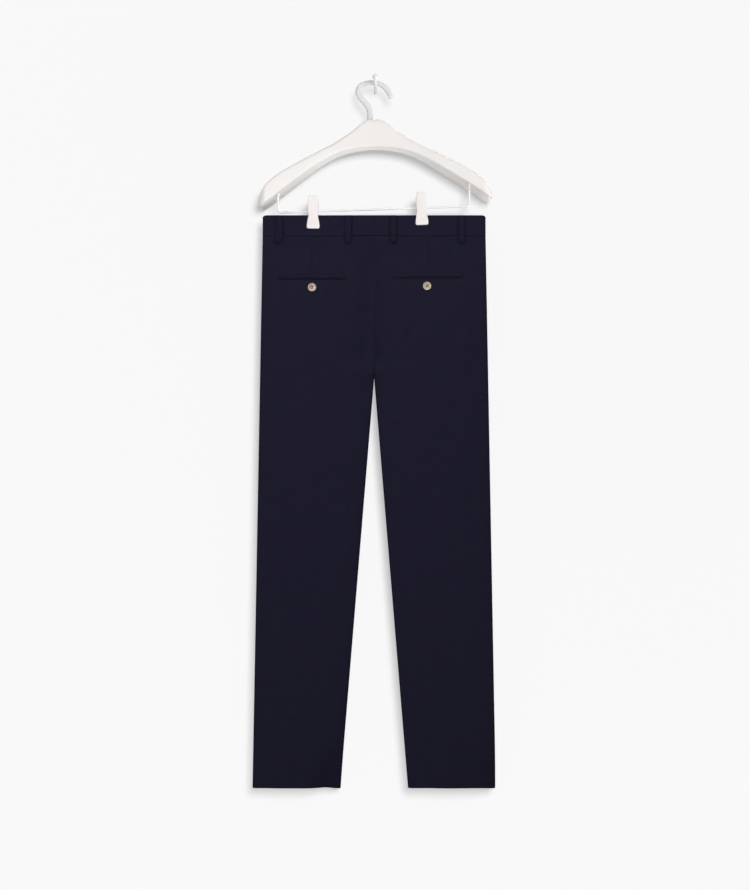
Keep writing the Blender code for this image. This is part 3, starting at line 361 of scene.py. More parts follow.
#        side, x where it grips the bar, lean to the right going down
CLIPS = ((LEFT, -118.1, 0.0),
         (RIGHT, 87.1, math.radians(2.2)))
BARREL_RADIUS, BARREL_LENGTH, BARREL_BEVEL = 4.7, 17.0, 0.6
#                      above the bar, half width, inner face, wall
JAW_PROFILE = np.array([(24.4, 5.4, 11.0, 1.6),
                        (24.0, 6.9, 10.8, 2.0),
                        (23.0, 8.1, 10.5, 2.4),
                        (20.5, 9.0, 10.0, 2.6),
                        (14.0, 9.5, 8.5, 2.6),
                        (4.0, 9.6, 6.1, 2.7),
                        (-4.0, 9.5, 4.8, 2.8),
                        (-10.0, 9.0, 4.3, 2.8),
                        (-14.0, 9.4, 3.8, 2.8),
                        (-18.0, 10.3, 3.3, 2.8),
                        (-24.0, 11.4, 3.1, 2.8),
                        (-29.0, 12.0, 3.1, 2.8),
                        (-32.4, 12.1, 3.1, 2.8),
                        (-34.2, 11.7, 3.1, 2.6),
                        (-35.3, 10.7, 3.1, 2.3),
                        (-35.8, 9.5, 3.1, 1.8)])
JAW_ROUND = 1.4
WALL_HOOK_REACH, WALL_HOOK_BEND = 48.0, 9.0
WALL_HOOK_ROD, WALL_HOOK_LIFT = 2.6, 1.4
WALL_HOOK_KNOB, WALL_HOOK_KNOB_Z = 5.3, 15.6

# ---------------------------------------------------------------- camera and stage
CAMERA_AT = (-0.757, -2042.0, -681.0)
FRAME_HEIGHT_PIXELS = 890
MM_PER_PIXEL_AT_CLOTH = 1.9      # across the middle plane of the trousers
SENSOR = 36.0
FLOOR_Z = -1750.0
STAGE_HALF = 4000.0
WHITE, BLACK = (1.0, 1.0, 1.0, 1.0), (0.0, 0.0, 0.0, 1.0)
ROOM_LIGHT, ROOM_LOOK = 0.04, 0.86       # how much it lights, and how bright it looks
WALL_LEVEL = 0.918               # tone of the wall, from its lamps and its own glow together
FLOOR_LEVEL = 0.81               # the floor glows too, evenly, and takes no light
# Lamps are placed in metres. The wall has two of its own, at one place, so that the shadows on it
# stay close to the object; the light of one of them passes the two hooks, so their shadow is paler.
AIM, HANGER_AIM, LOW_AIM = (0.0, 0.0, -0.5), (0.0, -0.04, -0.12), (-0.25, 0.0, -0.74)
WALL_LAMP_FROM, WALL_LAMP_RADIUS = (0.60, -2.87, 0.26), 0.62
WALL_LAMP_SHARE, SHARE_PAST_HOOK = 0.47, 0.6
STOPPED = WALL_LAMP_SHARE * (1.0 - SHARE_PAST_HOOK)
PASSED = WALL_LAMP_SHARE * SHARE_PAST_HOOK
#         name, what it lights, from, aimed at, share of the full light there, radius
LAMPS = (("wall_lamp", "only_wall", WALL_LAMP_FROM, AIM, STOPPED, WALL_LAMP_RADIUS),
         ("wall_lamp_past_hook", "only_wall", WALL_LAMP_FROM, AIM, PASSED, WALL_LAMP_RADIUS),
         ("key", "garment", (0.50, -2.15, 1.00), AIM, 0.46, 0.40),
         ("hanger_key", "only_hanger", (1.9, -1.6, 1.2), HANGER_AIM, 0.35, 0.25),
         ("spot", "all_but_stage", (-0.9, -2.3, 0.35), LOW_AIM, 0.32, 0.50))
SPOT_ANGLE = 54.0
#        name, what it lights, from, share of the full light, angular size
SUNS = (("fill", "all_but_stage", (-0.2, -1.0, 0.0), 0.36, 70.0),
        ("under", "only_hanger", (0.60, -0.4, -1.0), 0.65, 60.0),
        ("rear", "garment", (-0.70, 1.0, 0.55), 0.90, 20.0))
# These throw no glow on the wall close behind them
PALE_SLOTS = ("hanger", "hanger_hook", "bar", "wall_hook")

SURFACES = {}
MATERIALS = {}


# ---------------------------------------------------------------- small helpers
def blend(low, high, share):
    return low + (high - low) * share


def ease(value, start, end):
    """0 before start, 1 after end, and smooth between them."""
    share = np.clip((value - start) / (end - start), 0.0, 1.0)
    return share * share * (3.0 - 2.0 * share)


def smooth_column(table, column, at):
    """Read a column of a table along its first one, as a smooth curve through the rows."""
    keys, values = table[:, 0], table[:, column]
    slopes = np.gradient(values, keys)
    row = np.clip(np.searchsorted(keys, at) - 1, 0, len(keys) - 2)
    span = keys[row + 1] - keys[row]
    s = np.clip((at - keys[row]) / span, 0.0, 1.0)
    return ((2 * s**3 - 3 * s**2 + 1) * values[row] + (s**3 - 2 * s**2 + s) * span * slopes[row]
            + (3 * s**2 - 2 * s**3) * values[row + 1] + (s**3 - s**2) * span * slopes[row + 1])


def smooth_path(points, steps):
    """Points along a smooth curve through the given ones, with the same number of steps each."""
    table = np.column_stack([np.arange(len(points)), points])
    marks = np.linspace(0, len(points) - 1, (len(points) - 1) * steps + 1)
    return np.column_stack([smooth_column(table, column, marks) for column in range(1, table.shape[1])])


def unit(vectors):
    return vectors / np.maximum(np.linalg.norm(vectors, axis=-1, keepdims=True), 1e-9)


def spans(path):
    """Distances from each point of a path to the next."""
    return np.linalg.norm(np.diff(path, axis=0), axis=1)


def turns(count):
    """Angles all round, evenly spaced."""
    return np.linspace(0.0, 2 * np.pi, count, endpoint=False)


def bent(start, corner, end, steps):
    """Points of a curve that starts and ends towards its corner."""
    return [(1 - s)**2 * start + 2 * s * (1 - s) * corner + s**2 * end
            for s in np.linspace(0.0, 1.0, steps + 1)]


def xyz(x, y, z):
    """Points from their coordinates; a coordinate that all share is one number."""
    return np.stack(np.broadcast_arrays(x, y, z), axis=-1)


def waves(at, table):
    """A sum of waves along a line: length, phase and height of each."""
    return sum(height * np.sin(2 * np.pi * at / length + phase) for length, phase, height in table)


def rounded_ring(corners, radii, steps):
    """A closed outline whose corners are rounded, as an array of 2D points."""
    ring = []
    corners = [np.array(corner, float) for corner in corners]
    for index, corner in enumerate(corners):
        before, after = corners[index - 1] - corner, corners[(index + 1) % len(corners)] - corner
        lengths = np.linalg.norm(before), np.linalg.norm(after)
        radius = min(radii[index], 0.48 * min(lengths))
        start, end = (corner + way / length * radius for way, length in zip((before, after), lengths))
        ring += bent(start, corner, end, steps)
    return np.array(ring)


# ---------------------------------------------------------------- meshes
def add_piece(name, points, faces, material, slot, weave=None, sharp=50.0):
    """A piece of the object from points in millimetres; it rides on the body and takes a finish."""
    mesh = bpy.data.meshes.new(name)
    mesh.from_pydata((np.asarray(points) * MM).tolist(), [], faces)
    form = bmesh.new()
    form.from_mesh(mesh)
    bmesh.ops.recalc_face_normals(form, faces=form.faces)
    SURFACES[name] = BVHTree.FromBMesh(form)
    form.to_mesh(mesh)
    form.free()
    mesh.shade_smooth()
    mesh.set_sharp_from_angle(angle=math.radians(sharp))
    if weave is not None:
        along = mesh.attributes.new("weave", "FLOAT_VECTOR", "POINT")
        along.data.foreach_set("vector", (np.asarray(weave) * MM).ravel())
    mesh.materials.append(MATERIALS[material])
    piece = bpy.data.objects.new(name, mesh)
    bpy.context.collection.objects.link(piece)
    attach(piece, "root")
    piece.visible_diffuse = slot not in PALE_SLOTS
    return piece


def grid_faces(rows, columns, start=0):
    """The faces of a grid of points, of which the first has the number start."""
    corner = start + np.arange(rows * columns).reshape(rows, columns)
    quads = np.stack([corner[:-1, :-1], corner[:-1, 1:], corner[1:, 1:], corner[1:, :-1]], axis=-1)
    return quads.reshape(-1, 4).tolist()


def add_wall(name, outer, inner, weave, material="chino_twill", slot="cloth"):
    """A sheet with thickness from two equal grids of points, joined round their borders."""
    rows, columns = np.shape(outer)[:2]
    count = rows * columns
    corner = np.arange(count).reshape(rows, columns)
    border = np.concatenate([corner[0, :-1], corner[:-1, -1], corner[-1, :0:-1], corner[:0:-1, 0]])
    after = np.roll(border, -1)
    rim = np.stack([border, after, after + count, border + count], axis=-1).tolist()
    faces = grid_faces(rows, columns) + grid_faces(rows, columns, count) + rim
    points = np.concatenate([outer, inner]).reshape(-1, 3)
    return add_piece(name, points, faces, material, slot, np.concatenate([weave, weave]).reshape(-1, 3))


def add_lofts(name, solids, material, slot, closed=False, sharp=50.0):
    """One mesh of solids: each goes through equal rings of points, with a face on both its ends
    unless it is closed."""
    points, faces = [], []
    count = 0
    for rings in solids:
        rings = np.asarray(rings, float)
        corner = count + np.arange(rings.size // 3).reshape(rings.shape[:2])
        there = np.roll(corner, -1, axis=0) if closed else corner[1:]
        here = corner if closed else corner[:-1]
        quads = np.stack([here, np.roll(here, -1, axis=1), np.roll(there, -1, axis=1), there], axis=-1)
        faces += quads.reshape(-1, 4).tolist()
        if not closed:
            faces += [corner[0].tolist(), corner[-1].tolist()]
        points.append(rings.reshape(-1, 3))
        count += corner.size
    return add_piece(name, np.concatenate(points), faces, material, slot, sharp=sharp)


def add_loft(name, rings, material, slot, closed=False, sharp=50.0):
    return add_lofts(name, [rings], material, slot, closed, sharp)


def outermost(names, x, z, face):
    """The outermost y of the named pieces on one face of the garment, just round a point."""
    best = None
    for name in names:
        for step in (-0.6, 0.0, 0.6):
            start = Vector((x, MIDDLE_Y + face * 150.0, z + step)) * MM
            hit = SURFACES[name].ray_cast(start, Vector((0.0, -face, 0.0)))[0]
            if hit is not None and (best is None or hit.y * face > best * face):
                best = hit.y
    return best / MM


# ---------------------------------------------------------------- materials
def linear(code):
    """An sRGB hex colour as linear RGBA."""
    channels = np.array([int(code[index:index + 2], 16) for index in (1, 3, 5)]) / 255.0
    return (*np.where(channels <= 0.04045, channels / 12.92, ((channels + 0.055) / 1.055)**2.4), 1.0)


def add_node(owner, kind, inputs=None, **settings):
    """Add a node. Each input is a value, or another node's output that is linked to it."""
    node = owner.node_tree.nodes.new(kind)
    for name, value in settings.items():
        setattr(node, name, value)
    for name, value in (inputs or {}).items():
        if isinstance(value, bpy.types.NodeSocket):
            owner.node_tree.links.new(value, node.inputs[name])
        else:
            node.inputs[name].default_value = value
    return node


def new_material(name, roughness, **sockets):
    """An empty material; the numbers that are the same all over go on the shader's own sockets."""
    material = bpy.data.materials.new(name)
    material.use_nodes = True
    shader = material.node_tree.nodes["Principled BSDF"]
    shader.inputs["Roughness"].default_value = roughness
    for socket, value in sockets.items():
        shader.inputs[socket.replace("_", " ")].default_value = value
    MATERIALS[name] = material
    return material, shader


def place_on(material):
    return add_node(material, "ShaderNodeTexCoord").outputs["Object"]


def noise(material, place, scale, detail=2.0, **more):
    """A random value between 0 and 1 at each place; the scale is in cells to the metre."""
    inputs = {"Vector": place, "Scale": scale, "Detail": detail, **more}
    return add_node(material, "ShaderNodeTexNoise", inputs).outputs["Fac"]


def spread(material, value, low, high, top=1.0):
    """The value stretched, so that low turns to 0 and high to top."""
    inputs = {"Value": value, "From Min": low, "From Max": high, "To Max": top}
    return add_node(material, "ShaderNodeMapRange", inputs).outputs["Result"]


def scaled(owner, value, factor, added=None):
    """The value times a factor, and something added to it."""
    inputs = {0: value, 1: factor}
    if added is None:
        return add_node(owner, "ShaderNodeMath", inputs, operation="MULTIPLY").outputs[0]
    return add_node(owner, "ShaderNodeMath", {**inputs, 2: added}, operation="MULTIPLY_ADD").outputs[0]


def mixed(material, share, low, high):
    """A colour between two: each is an sRGB code or another node's output."""
    low, high = (linear(colour) if isinstance(colour, str) else colour for colour in (low, high))
    mix = add_node(material, "ShaderNodeMix", {0: share, 6: low, 7: high}, data_type="RGBA")
    return mix.outputs[2]


def connect(material, shader, colour, height, distance, strength):
    """Give the shader its colour, and its bump from a height; distance is in metres."""
    inputs = {"Height": height, "Distance": distance, "Strength": strength}
    bump = add_node(material, "ShaderNodeBump", inputs)
    material.node_tree.links.new(colour, shader.inputs["Base Color"])
    material.node_tree.links.new(bump.outputs["Normal"], shader.inputs["Normal"])


def cotton_twill(name, dark, light):
    """Cotton twill, piece dyed navy and pressed: a fine diagonal rib, slightly uneven in tone, and a
    dry, matt face with a little fuzz at its edges. Its ribs are 0.55 mm apart; they are drawn 1.3 mm
    apart, because finer ones turn to noise at this size."""
    material, shader = new_material(name, 0.86, Specular_IOR_Level=0.09, Sheen_Weight=0.012,
                                    Sheen_Roughness=0.45, Sheen_Tint=linear("#8A8FB5"))
    cloth = add_node(material, "ShaderNodeAttribute", attribute_name="weave").outputs["Vector"]
    turned = add_node(material, "ShaderNodeMapping",
                      {"Vector": cloth, "Rotation": (0.0, 0.0, math.radians(RIB_LEAN))}).outputs["Vector"]
    ribs = add_node(material, "ShaderNodeTexWave",
                    {"Vector": turned, "Scale": WAVE_SCALE / (RIB_PITCH * MM), "Distortion": 0.6,
                     "Detail": 1.0, "Detail Scale": 2.0}, bands_direction="X").outputs["Fac"]
    yarn = noise(material, cloth, 900.0)
    tone = noise(material, cloth, 55.0, 3.0, Roughness=0.55)
    patches = spread(material, tone, 0.32, 0.70)
    share = scaled(material, ribs, 0.35)
    share = scaled(material, yarn, 0.70, share)
    share = scaled(material, patches, 0.14, share)
    colour = mixed(material, share, dark, light)
    height = scaled(material, yarn, 0.5, ribs)
    connect(material, shader, colour, height, 0.00012, 0.55)


def spun_thread(name, colour, light):
    """Polyester-wrapped cotton thread, sewn by machine: twisted strands with a soft satin gloss."""
    material, shader = new_material(name, 0.70, Specular_IOR_Level=0.10)
    strands = noise(material, place_on(material), 1600.0, 1.0)
    connect(material, shader, mixed(material, strands, colour, light), strands, 0.0001, 0.5)


def horn_button(name):
    """Imitation horn: cast polyester, turned and tumbled. Cloudy beige with brown streaks that run
    across the face, under a smooth gloss."""
    material, shader = new_material(name, 0.28, Coat_Weight=0.35, Coat_Roughness=0.12, IOR=1.54)
    stretched = add_node(material, "ShaderNodeMapping",
                         {"Vector": place_on(material), "Rotation": (0.0, 0.6, 0.0),
                          "Scale": (1.0, 1.0, 0.45)}).outputs["Vector"]
    clouds = noise(material, stretched, 190.0, 3.0, Distortion=1.2)
    streaks = noise(material, stretched, 120.0, 4.0, Distortion=2.0)
    cloudy = spread(material, clouds, 0.35, 0.68)
    brown = spread(material, streaks, 0.50, 0.68, 0.85)
    beige = mixed(material, cloudy, "#C1AF9C", "#AA967E")
    connect(material, shader, mixed(material, brown, beige, "#5E4C38"), clouds, 0.00005, 0.3)


def moulded_plastic(name, face, shade, roughness):
    """Polypropylene, injection moulded in a spark-eroded tool: an even, satin face with a very fine
    grain and a slight waviness where it shrank."""
    material, shader = new_material(name, roughness, IOR=1.49, Specular_IOR_Level=0.25)
    place = place_on(material)
    fine = noise(material, place, 1400.0)
    broad = noise(material, place, 14.0)
    colour = mixed(material, broad, face, shade)
    connect(material, shader, colour, scaled(material, broad, 2.0, fine), 0.00004, 0.15)


def coated_steel(name, face, shade, roughness):
    """Steel wire, dipped in white enamel: smooth and glossy, with slight runs in the coat."""
    material, shader = new_material(name, roughness, IOR=1.5, Specular_IOR_Level=0.3, Coat_Weight=0.08,
                                    Coat_Roughness=0.3)
    runs = noise(material, place_on(material), 260.0)
    connect(material, shader, mixed(material, runs, face, shade), runs, 0.00004, 0.15)


def woven_tape(name):
    """Polyester zip tape, woven narrow and dyed to match: fine ribs across a dull band."""
    material, shader = new_material(name, 0.8, Specular_IOR_Level=0.25)
    ribs = add_node(material, "ShaderNodeTexWave",
                    {"Vector": place_on(material), "Scale": 260.0, "Distortion": 0.4},
                    bands_direction="Z").outputs["Fac"]
    connect(material, shader, mixed(material, ribs, "#1A1A28", "#2A2A3A"), ribs, 0.0002, 0.6)


def nickel_teeth(name):
    """Brass, stamped and nickel plated: bright metal, dulled and lightly scratched by the slider."""
    material, shader = new_material(name, 0.3, Metallic=1.0)
    scratches = noise(material, place_on(material), 1200.0, 3.0)
    connect(material, shader, mixed(material, scratches, "#B9B4AA", "#8E897F"), scratches, 0.00008, 0.5)


def make_materials():
    cotton_twill("chino_twill", "#0F0E1A", "#1F1D30")
    # slit_shadow is twill coloured near black: painted shade for the inside of the buttonhole slits, not a
    # dye
    cotton_twill("slit_shadow", "#030304", "#08080C")
    spun_thread("navy_thread", "#0E0C16", "#1B1826")
    horn_button("horn")
    moulded_plastic("hanger_plastic", "#F3EFEC", "#EFEAE7", 0.55)
    moulded_plastic("clip_plastic", "#F1ECEA", "#EEE8E6", 0.55)
    moulded_plastic("hook_plastic", "#E7E6E5", "#E3E2E0", 0.60)
    coated_steel("white_wire", "#FCFAF8", "#F8F5F2", 0.50)
    coated_steel("wall_hook_enamel", "#F0EFEE", "#ECEBE9", 0.50)
    woven_tape("zip_tape")
    nickel_teeth("zip_nickel")


# ---------------------------------------------------------------- the form of the cloth
def leg_edges(below):
    """Distances of a leg's side edge and inner edge from the centre line."""
    inner = SEWN_GAP + INSEAM_SPREAD * np.maximum(0.0, below - RISE)
    return HALF_WAIST + SIDE_SPREAD * below, inner


def share_across(distance, below):
    """How far round a leg a distance from the centre lies: 0 at the side, 1 at the inner edge."""
    side, inner = leg_edges(below)
    middle, half = (side + inner) / 2, (side - inner) / 2
    return np.arccos(np.clip((distance - middle) / half, -1.0, 1.0)) / np.pi


def waist_depth(distance, half_width, clip, level):
    """Half depth across the waist: pinched at the clip, fuller on both sides, folded at the side."""
    pinched, middle, outer = level
    toward_centre = 0.5 + 0.5 * np.cos(np.pi * np.clip(distance / (clip - CLIP_GRIP), 0.0, 1.0))
    toward_side = np.clip((distance - clip - CLIP_GRIP) / (half_width - clip - CLIP_GRIP), 0.0, 1.0)
    depth = np.where(distance < clip, blend(pinched, middle, toward_centre),
                     blend(pinched, outer, np.sin(np.pi * toward_side)))
    past = np.clip((distance - half_width + FOLD_RADIUS) / FOLD_RADIUS, 0.0, 1.0)
    return depth * np.sqrt(1.0 - past**2)


def folds_at(face, x, below):
    """The broad folds of a face; x is taken from the centre line."""
    total = 0.0
    for fold_x, fold_below, half_width, half_length, lean, height in FOLDS[face]:
        along = (below - fold_below) / half_length
        across = (x - fold_x - lean * (below - fold_below)) / half_width
        total = total + height * np.exp(-across**2 - along**2)
    return total


def creases_at(face, x, below):
    """The creases of a face, and the unevenness all over."""
    total = sum(height * np.sin(2 * np.pi * (x / across + below / down) + phase + face)
                for across, down, phase, height in RIPPLES)
    for crease_x, crease_below, half_width, half_length, lean, bend, height in CREASES[face]:
        along = (below - crease_below) / half_length
        line = crease_x + lean * (below - crease_below) + bend * along**2
        across = np.abs((x - line) / half_width)
        total = total + height * CREASE_GAIN * np.exp(-across**1.6 - along**2)
    return total


def dart_at(side, distance, below):
    """A dart: a sewn groove with a low swell on both sides, running out at the pocket."""
    dart = DART_FROM_CENTRE[side] * (1.0 + SIDE_SPREAD * below / HALF_WAIST)
    across = distance - dart
    groove = DART_GROOVE * np.exp(-(across / DART_GROOVE_WIDTH)**2)
    swell = DART_SWELL * np.exp(-((np.abs(across) - DART_SWELL_WIDTH) / DART_SWELL_WIDTH)**2)
    return (swell - groove) * (1.0 - ease(below, 0.75 * DART_LENGTH, DART_LENGTH + 6.0))


def loop_centres(faces=(BACK, FRONT), sides=(LEFT, RIGHT)):
    """How far from the centre the belt loops of some faces and sides lie."""
    return [centre for _, face, centre, _, _ in BELT_LOOPS if face in faces and np.sign(centre) in sides]


def pressed_by_loops(face, x, below_top):
    """Grooves in the cloth on both sides of each belt loop, as deep all along it."""
    total = 0.0
    for centre in loop_centres(faces=(face,)):
        beside = np.abs(x - centre) - LOOP_WIDTH / 2 - LOOP_PRESS_BESIDE
        over = WAISTBAND_HEIGHT + LOOP_BELOW_SEAM + 1.0 - below_top
        total = total - LOOP_PRESS * np.exp(-(beside / LOOP_PRESS_WIDTH)**2) * ease(over, 0.0, 3.0)
    return total


def seams_at(side, face, distance, below):
    """What the seams do to the cloth beside them: puckers, allowances and the valley at the centre."""
    side_edge, inner_edge = leg_edges(below)
    from_side, from_inner = side_edge - distance, distance - inner_edge
    ragged = waves(below + 40.0 * side + 15.0 * face, PUCKER_WAVES)
    even = waves(below + 15.0 * face, PUCKER_WAVES)
    total = ragged * np.exp(-(from_side / PUCKER_REACH)**2) + even * np.exp(-(from_inner / PUCKER_REACH)**2)
    allowance = ALLOWANCE_WIDTH + 0.6 * waves(below, PUCKER_WAVES)
    begins, ends = allowance - ALLOWANCE_SOFT, allowance + ALLOWANCE_SOFT
    for from_edge in (from_side, from_inner):
        total += ALLOWANCE_STEP * (1.0 - ease(from_edge, begins, ends))
    along_waist = waves(side * distance + 60.0, PUCKER_WAVES)
    total += along_waist * np.exp(-below / WAIST_PUCKER_REACH)
    total -= WAIST_GROOVE * np.exp(-(below / WAIST_GROOVE_WIDTH)**2)
    if face == BACK:
        total += dart_at(side, distance, below)
    else:
        from_opening = side_edge - pocket_line(below) - distance
        turned = 1.0 - ease(from_opening, POCKET_STITCH, POCKET_STITCH + 2.0)
        total += ALLOWANCE_STEP * np.where(below < POCKET_DROP, turned, 0.0)
    hem = ease(below, SIDE_LENGTH - HEM_HEIGHT - 1.5, SIDE_LENGTH - HEM_HEIGHT + 1.0)
    return total + HEM_STEP * hem + pressed_by_loops(face, side * distance, below + WAISTBAND_HEIGHT)


def cleft_at(side, face, distance, below):
    """How far the seat sinks towards the centre-back seam: a broad valley, and a groove at the seam."""
    from_seam = distance - leg_edges(below)[1]
    valley = ease(below, CLEFT_FROM, CLEFT_FULL) * (1.0 - ease(below, CLEFT_LESS, CLEFT_END))
    groove = 1.0 - ease(below, CLEFT_LESS, CLEFT_END)
    across = side * distance - CLEFT_X
    across = across / np.where(across < 0.0, CLEFT_LEFT, CLEFT_RIGHT)
    return (face == BACK) * (CLEFT_DEPTH * valley * np.exp(-across**2)
                             + GROOVE_DEPTH * groove * np.exp(-(from_seam / GROOVE_WIDTH)**2))


def curl_at(x, below):
    """How far a corner of a hem curls away to the front, with both faces of the leg."""
    return sum(height * np.exp(-((x - corner) / half_width)**2 - ((below - low) / half_length)**2)
               for corner, low, half_width, half_length, height in HEM_CURLS)


def cloth_depth(side, face, distance, below):
    """Half depth of the garment on one face, at a distance from the centre line."""
    share = share_across(distance, below)
    round_leg = np.sin(np.pi * share)
    edge_form = np.abs(round_leg)**EDGE_POWER
    rise = RISE - below
    closing = np.sqrt(1.0 - (1.0 - np.clip(rise / CROTCH_ROUND, 0.0, 1.0))**2)
    centre = CENTRE_SHARE[face] * closing
    saddle = 0.5 - 0.5 * np.cos(np.pi * (1.0 + np.cos(np.pi * share)))
    fall = blend(edge_form, saddle, ease(rise, 0.0, SADDLE_RISE))
    profile = np.where((share > 0.5) & (rise > 0.0), centre + (1.0 - centre) * fall, edge_form)
    depth = smooth_column(DEPTHS, DEPTH_COLUMN[face], below) * profile
    pinched = waist_depth(distance, leg_edges(below)[0], CLIP_FROM_CENTRE[side], SEAM_LEVEL)
    depth = blend(pinched, depth, ease(below, 0.0, SEAT_RELAX))
    # Folds run out at the edges of a leg, and finer forms get low there
    window = np.minimum(1.0, 2.0 * round_leg)
    depth = depth + window * ease(below, FOLDS_START, FOLDS_FULL) * folds_at(face, side * distance, below)
    low_at_edges = np.minimum(1.0, 0.25 + 2.5 * round_leg)
    fine = creases_at(face, side * distance, below) + seams_at(side, face, distance, below)
    return depth + low_at_edges * fine - cleft_at(side, face, distance, below)


def waist_dip(face, distance, below):
    """How much lower the front hangs near the centre; nothing on the back."""
    share = 0.5 + 0.5 * np.cos(np.pi * np.minimum(np.abs(distance) / HALF_WAIST, 1.0))
    return FRONT_DIP * share * (1.0 - ease(below, 0.0, DIP_FADE)) * (face == FRONT)


def pocket_line(below):
    """Width of the slant pocket opening, from the side edge."""
    return POCKET_WIDTH * np.clip(1.0 - below / POCKET_DROP, 0.0, 1.0)**POCKET_CURVE


def fly_lap(below):
    """Share of the lap over the centre line; the fly's end curves back to it."""
    return 1.0 - ease(below, FLY_LENGTH - FLY_CURVE, FLY_LENGTH)


def fly_lift(distance, below):
    """How far the lapping half of the fly stands out over the other."""
    run_out = ease(below, FLY_LENGTH, FLY_LENGTH + FLY_RUN_OUT)
    return FLY_LIFT * ease(FLY_LIFT_START - distance, 0.0, FLY_LIFT_WIDTH) * (1.0 - run_out)


def cloth_points(side, face, shares, below, inset):
    """Points of a panel at one height, a given depth under its face: an array of (column, xyz)."""
    side_edge, inner_edge = leg_edges(below)
    middle, half = (side_edge + inner_edge) / 2, (side_edge - inner_edge) / 2
    turn = np.cos(np.pi * shares)
    distance = middle + half * turn
    depth = cloth_depth(side, face, distance, below)
    if (face, side) == (FRONT, LEFT):
        depth = depth + fly_lift(distance, below)
        distance = distance - FLY_LAP * fly_lap(below) * ease(FLY_LAP_WIDTH - distance, 0.0, FLY_LAP_WIDTH)
    closed = ease(below, RISE - 4.0, RISE + 10.0)
    distance = distance - inset * np.where(turn > 0.0, turn, turn * closed)
    depth = np.maximum(depth - inset, SEAM_GAP / 2)
    z = WAIST_SEAM - below - waist_dip(face, distance, below)
    z = z + HEM_RISE * ease(below, SIDE_LENGTH - HEM_RISE_FROM, SIDE_LENGTH) * (1.0 - turn**4)
    curl = curl_at(side * distance, below)
    return xyz(CENTRE_X + side * distance, MIDDLE_Y + face * depth + curl, z - CURL_DROP * curl)


# ---------------------------------------------------------------- sewn pieces
def panel_rows():
    """Down the panel, round the hem's fold and up inside: below and depth under the face, of both
    sides of the cloth."""
    ways = [(SEWN_GAP, 0.8, 1.7), np.arange(3.0, 130.0, 3.2), np.arange(130.0, 300.0, 4.6),
            np.linspace(300.0, SIDE_LENGTH - HEM_HEIGHT - 3.0, 86),
            np.linspace(SIDE_LENGTH - HEM_HEIGHT - 1.5, SIDE_LENGTH - HEM_FOLD_RADIUS, 12)]
    rows = [(below, 0.0, below, WALL) for below in np.concatenate(ways)]
    thin = HEM_FOLD_RADIUS - WALL
    for turn in np.linspace(0.0, np.pi, 9)[1:-1]:
        down, out = SIDE_LENGTH - HEM_FOLD_RADIUS, HEM_FOLD_RADIUS
        rows.append((down + out * math.sin(turn), out * (1.0 - math.cos(turn)),
                     down + thin * math.sin(turn), out - thin * math.cos(turn)))
    for below in np.linspace(SIDE_LENGTH - HEM_FOLD_RADIUS, SIDE_LENGTH - HEM_HEIGHT, 8):
        rows.append((below, 2 * HEM_FOLD_RADIUS, below, 2 * HEM_FOLD_RADIUS - WALL))
    return rows


def panel_shares(side, face):
    """Where the columns of a panel lie, from 0 at the side to 1 at the inner edge."""
    shares = np.linspace(0.0, 1.0, PANEL_COLUMNS[face])
    if face == BACK:
        dart = share_across(np.array(DART_FROM_CENTRE[side]), np.array(0.0))
        near = np.array([-4.5, -2.6, -1.5, -0.8, 0.0, 0.8, 1.5, 2.6, 4.5]) / (HALF_WAIST * np.pi / 2)
        shares = np.concatenate([shares[np.abs(shares - dart) > CLEAR_OF_DART], dart + near])
    loops = [share_across(np.array(abs(centre) + hand * (LOOP_WIDTH / 2 + step)), np.array(0.0))
             for centre in loop_centres((face,), (side,))
             for hand in (-1, 1) for step in (-0.4, 0.5, 1.2, 2.2)]
    clear = np.abs(shares[:, None] - np.array(loops)).min(axis=1) > CLEAR_OF_LOOP
    return np.sort(np.concatenate([shares[clear], loops, NEAR_CENTRE]))


def add_panels():
    """Two backs and two fronts; the twill runs down each, and across from its inner edge."""
    for side in (LEFT, RIGHT):
        for face, word in ((BACK, "back"), (FRONT, "front")):
            layers, weave = ([], []), []
            base = panel_shares(side, face)
            for row in panel_rows():
                for layer, (below, inset) in zip(layers, (row[:2], row[2:])):
                    below = np.array(below)
                    start = 0.0
                    if face == FRONT:
                        start = share_across(leg_edges(below)[0] - pocket_line(below), below)
                    layer.append(cloth_points(side, face, start + (1.0 - start) * base, below, inset))
                line = layers[0][-1]
                across = np.concatenate([np.cumsum(spans(line[:, :2])[::-1])[::-1], [0.0]])
                weave.append(xyz(side * across, -row[0], 0.0))
            panel = add_wall(f"{word}_{SIDE_NAMES[side]}", *layers, weave)
            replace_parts(panel, f"{word}_panel_{SIDE_NAMES[side]}")
            declare_panel(face)


def declare_panel(face):
    """The width of a panel's cut down its length, less the pocket opening on a front; it is worked out and
    not used.
    """
    below = np.linspace(0.0, SIDE_LENGTH, 200)
    side_edge, inner_edge = leg_edges(below)
    width = side_edge - inner_edge
    if face == FRONT:
        width = width - pocket_line(below)


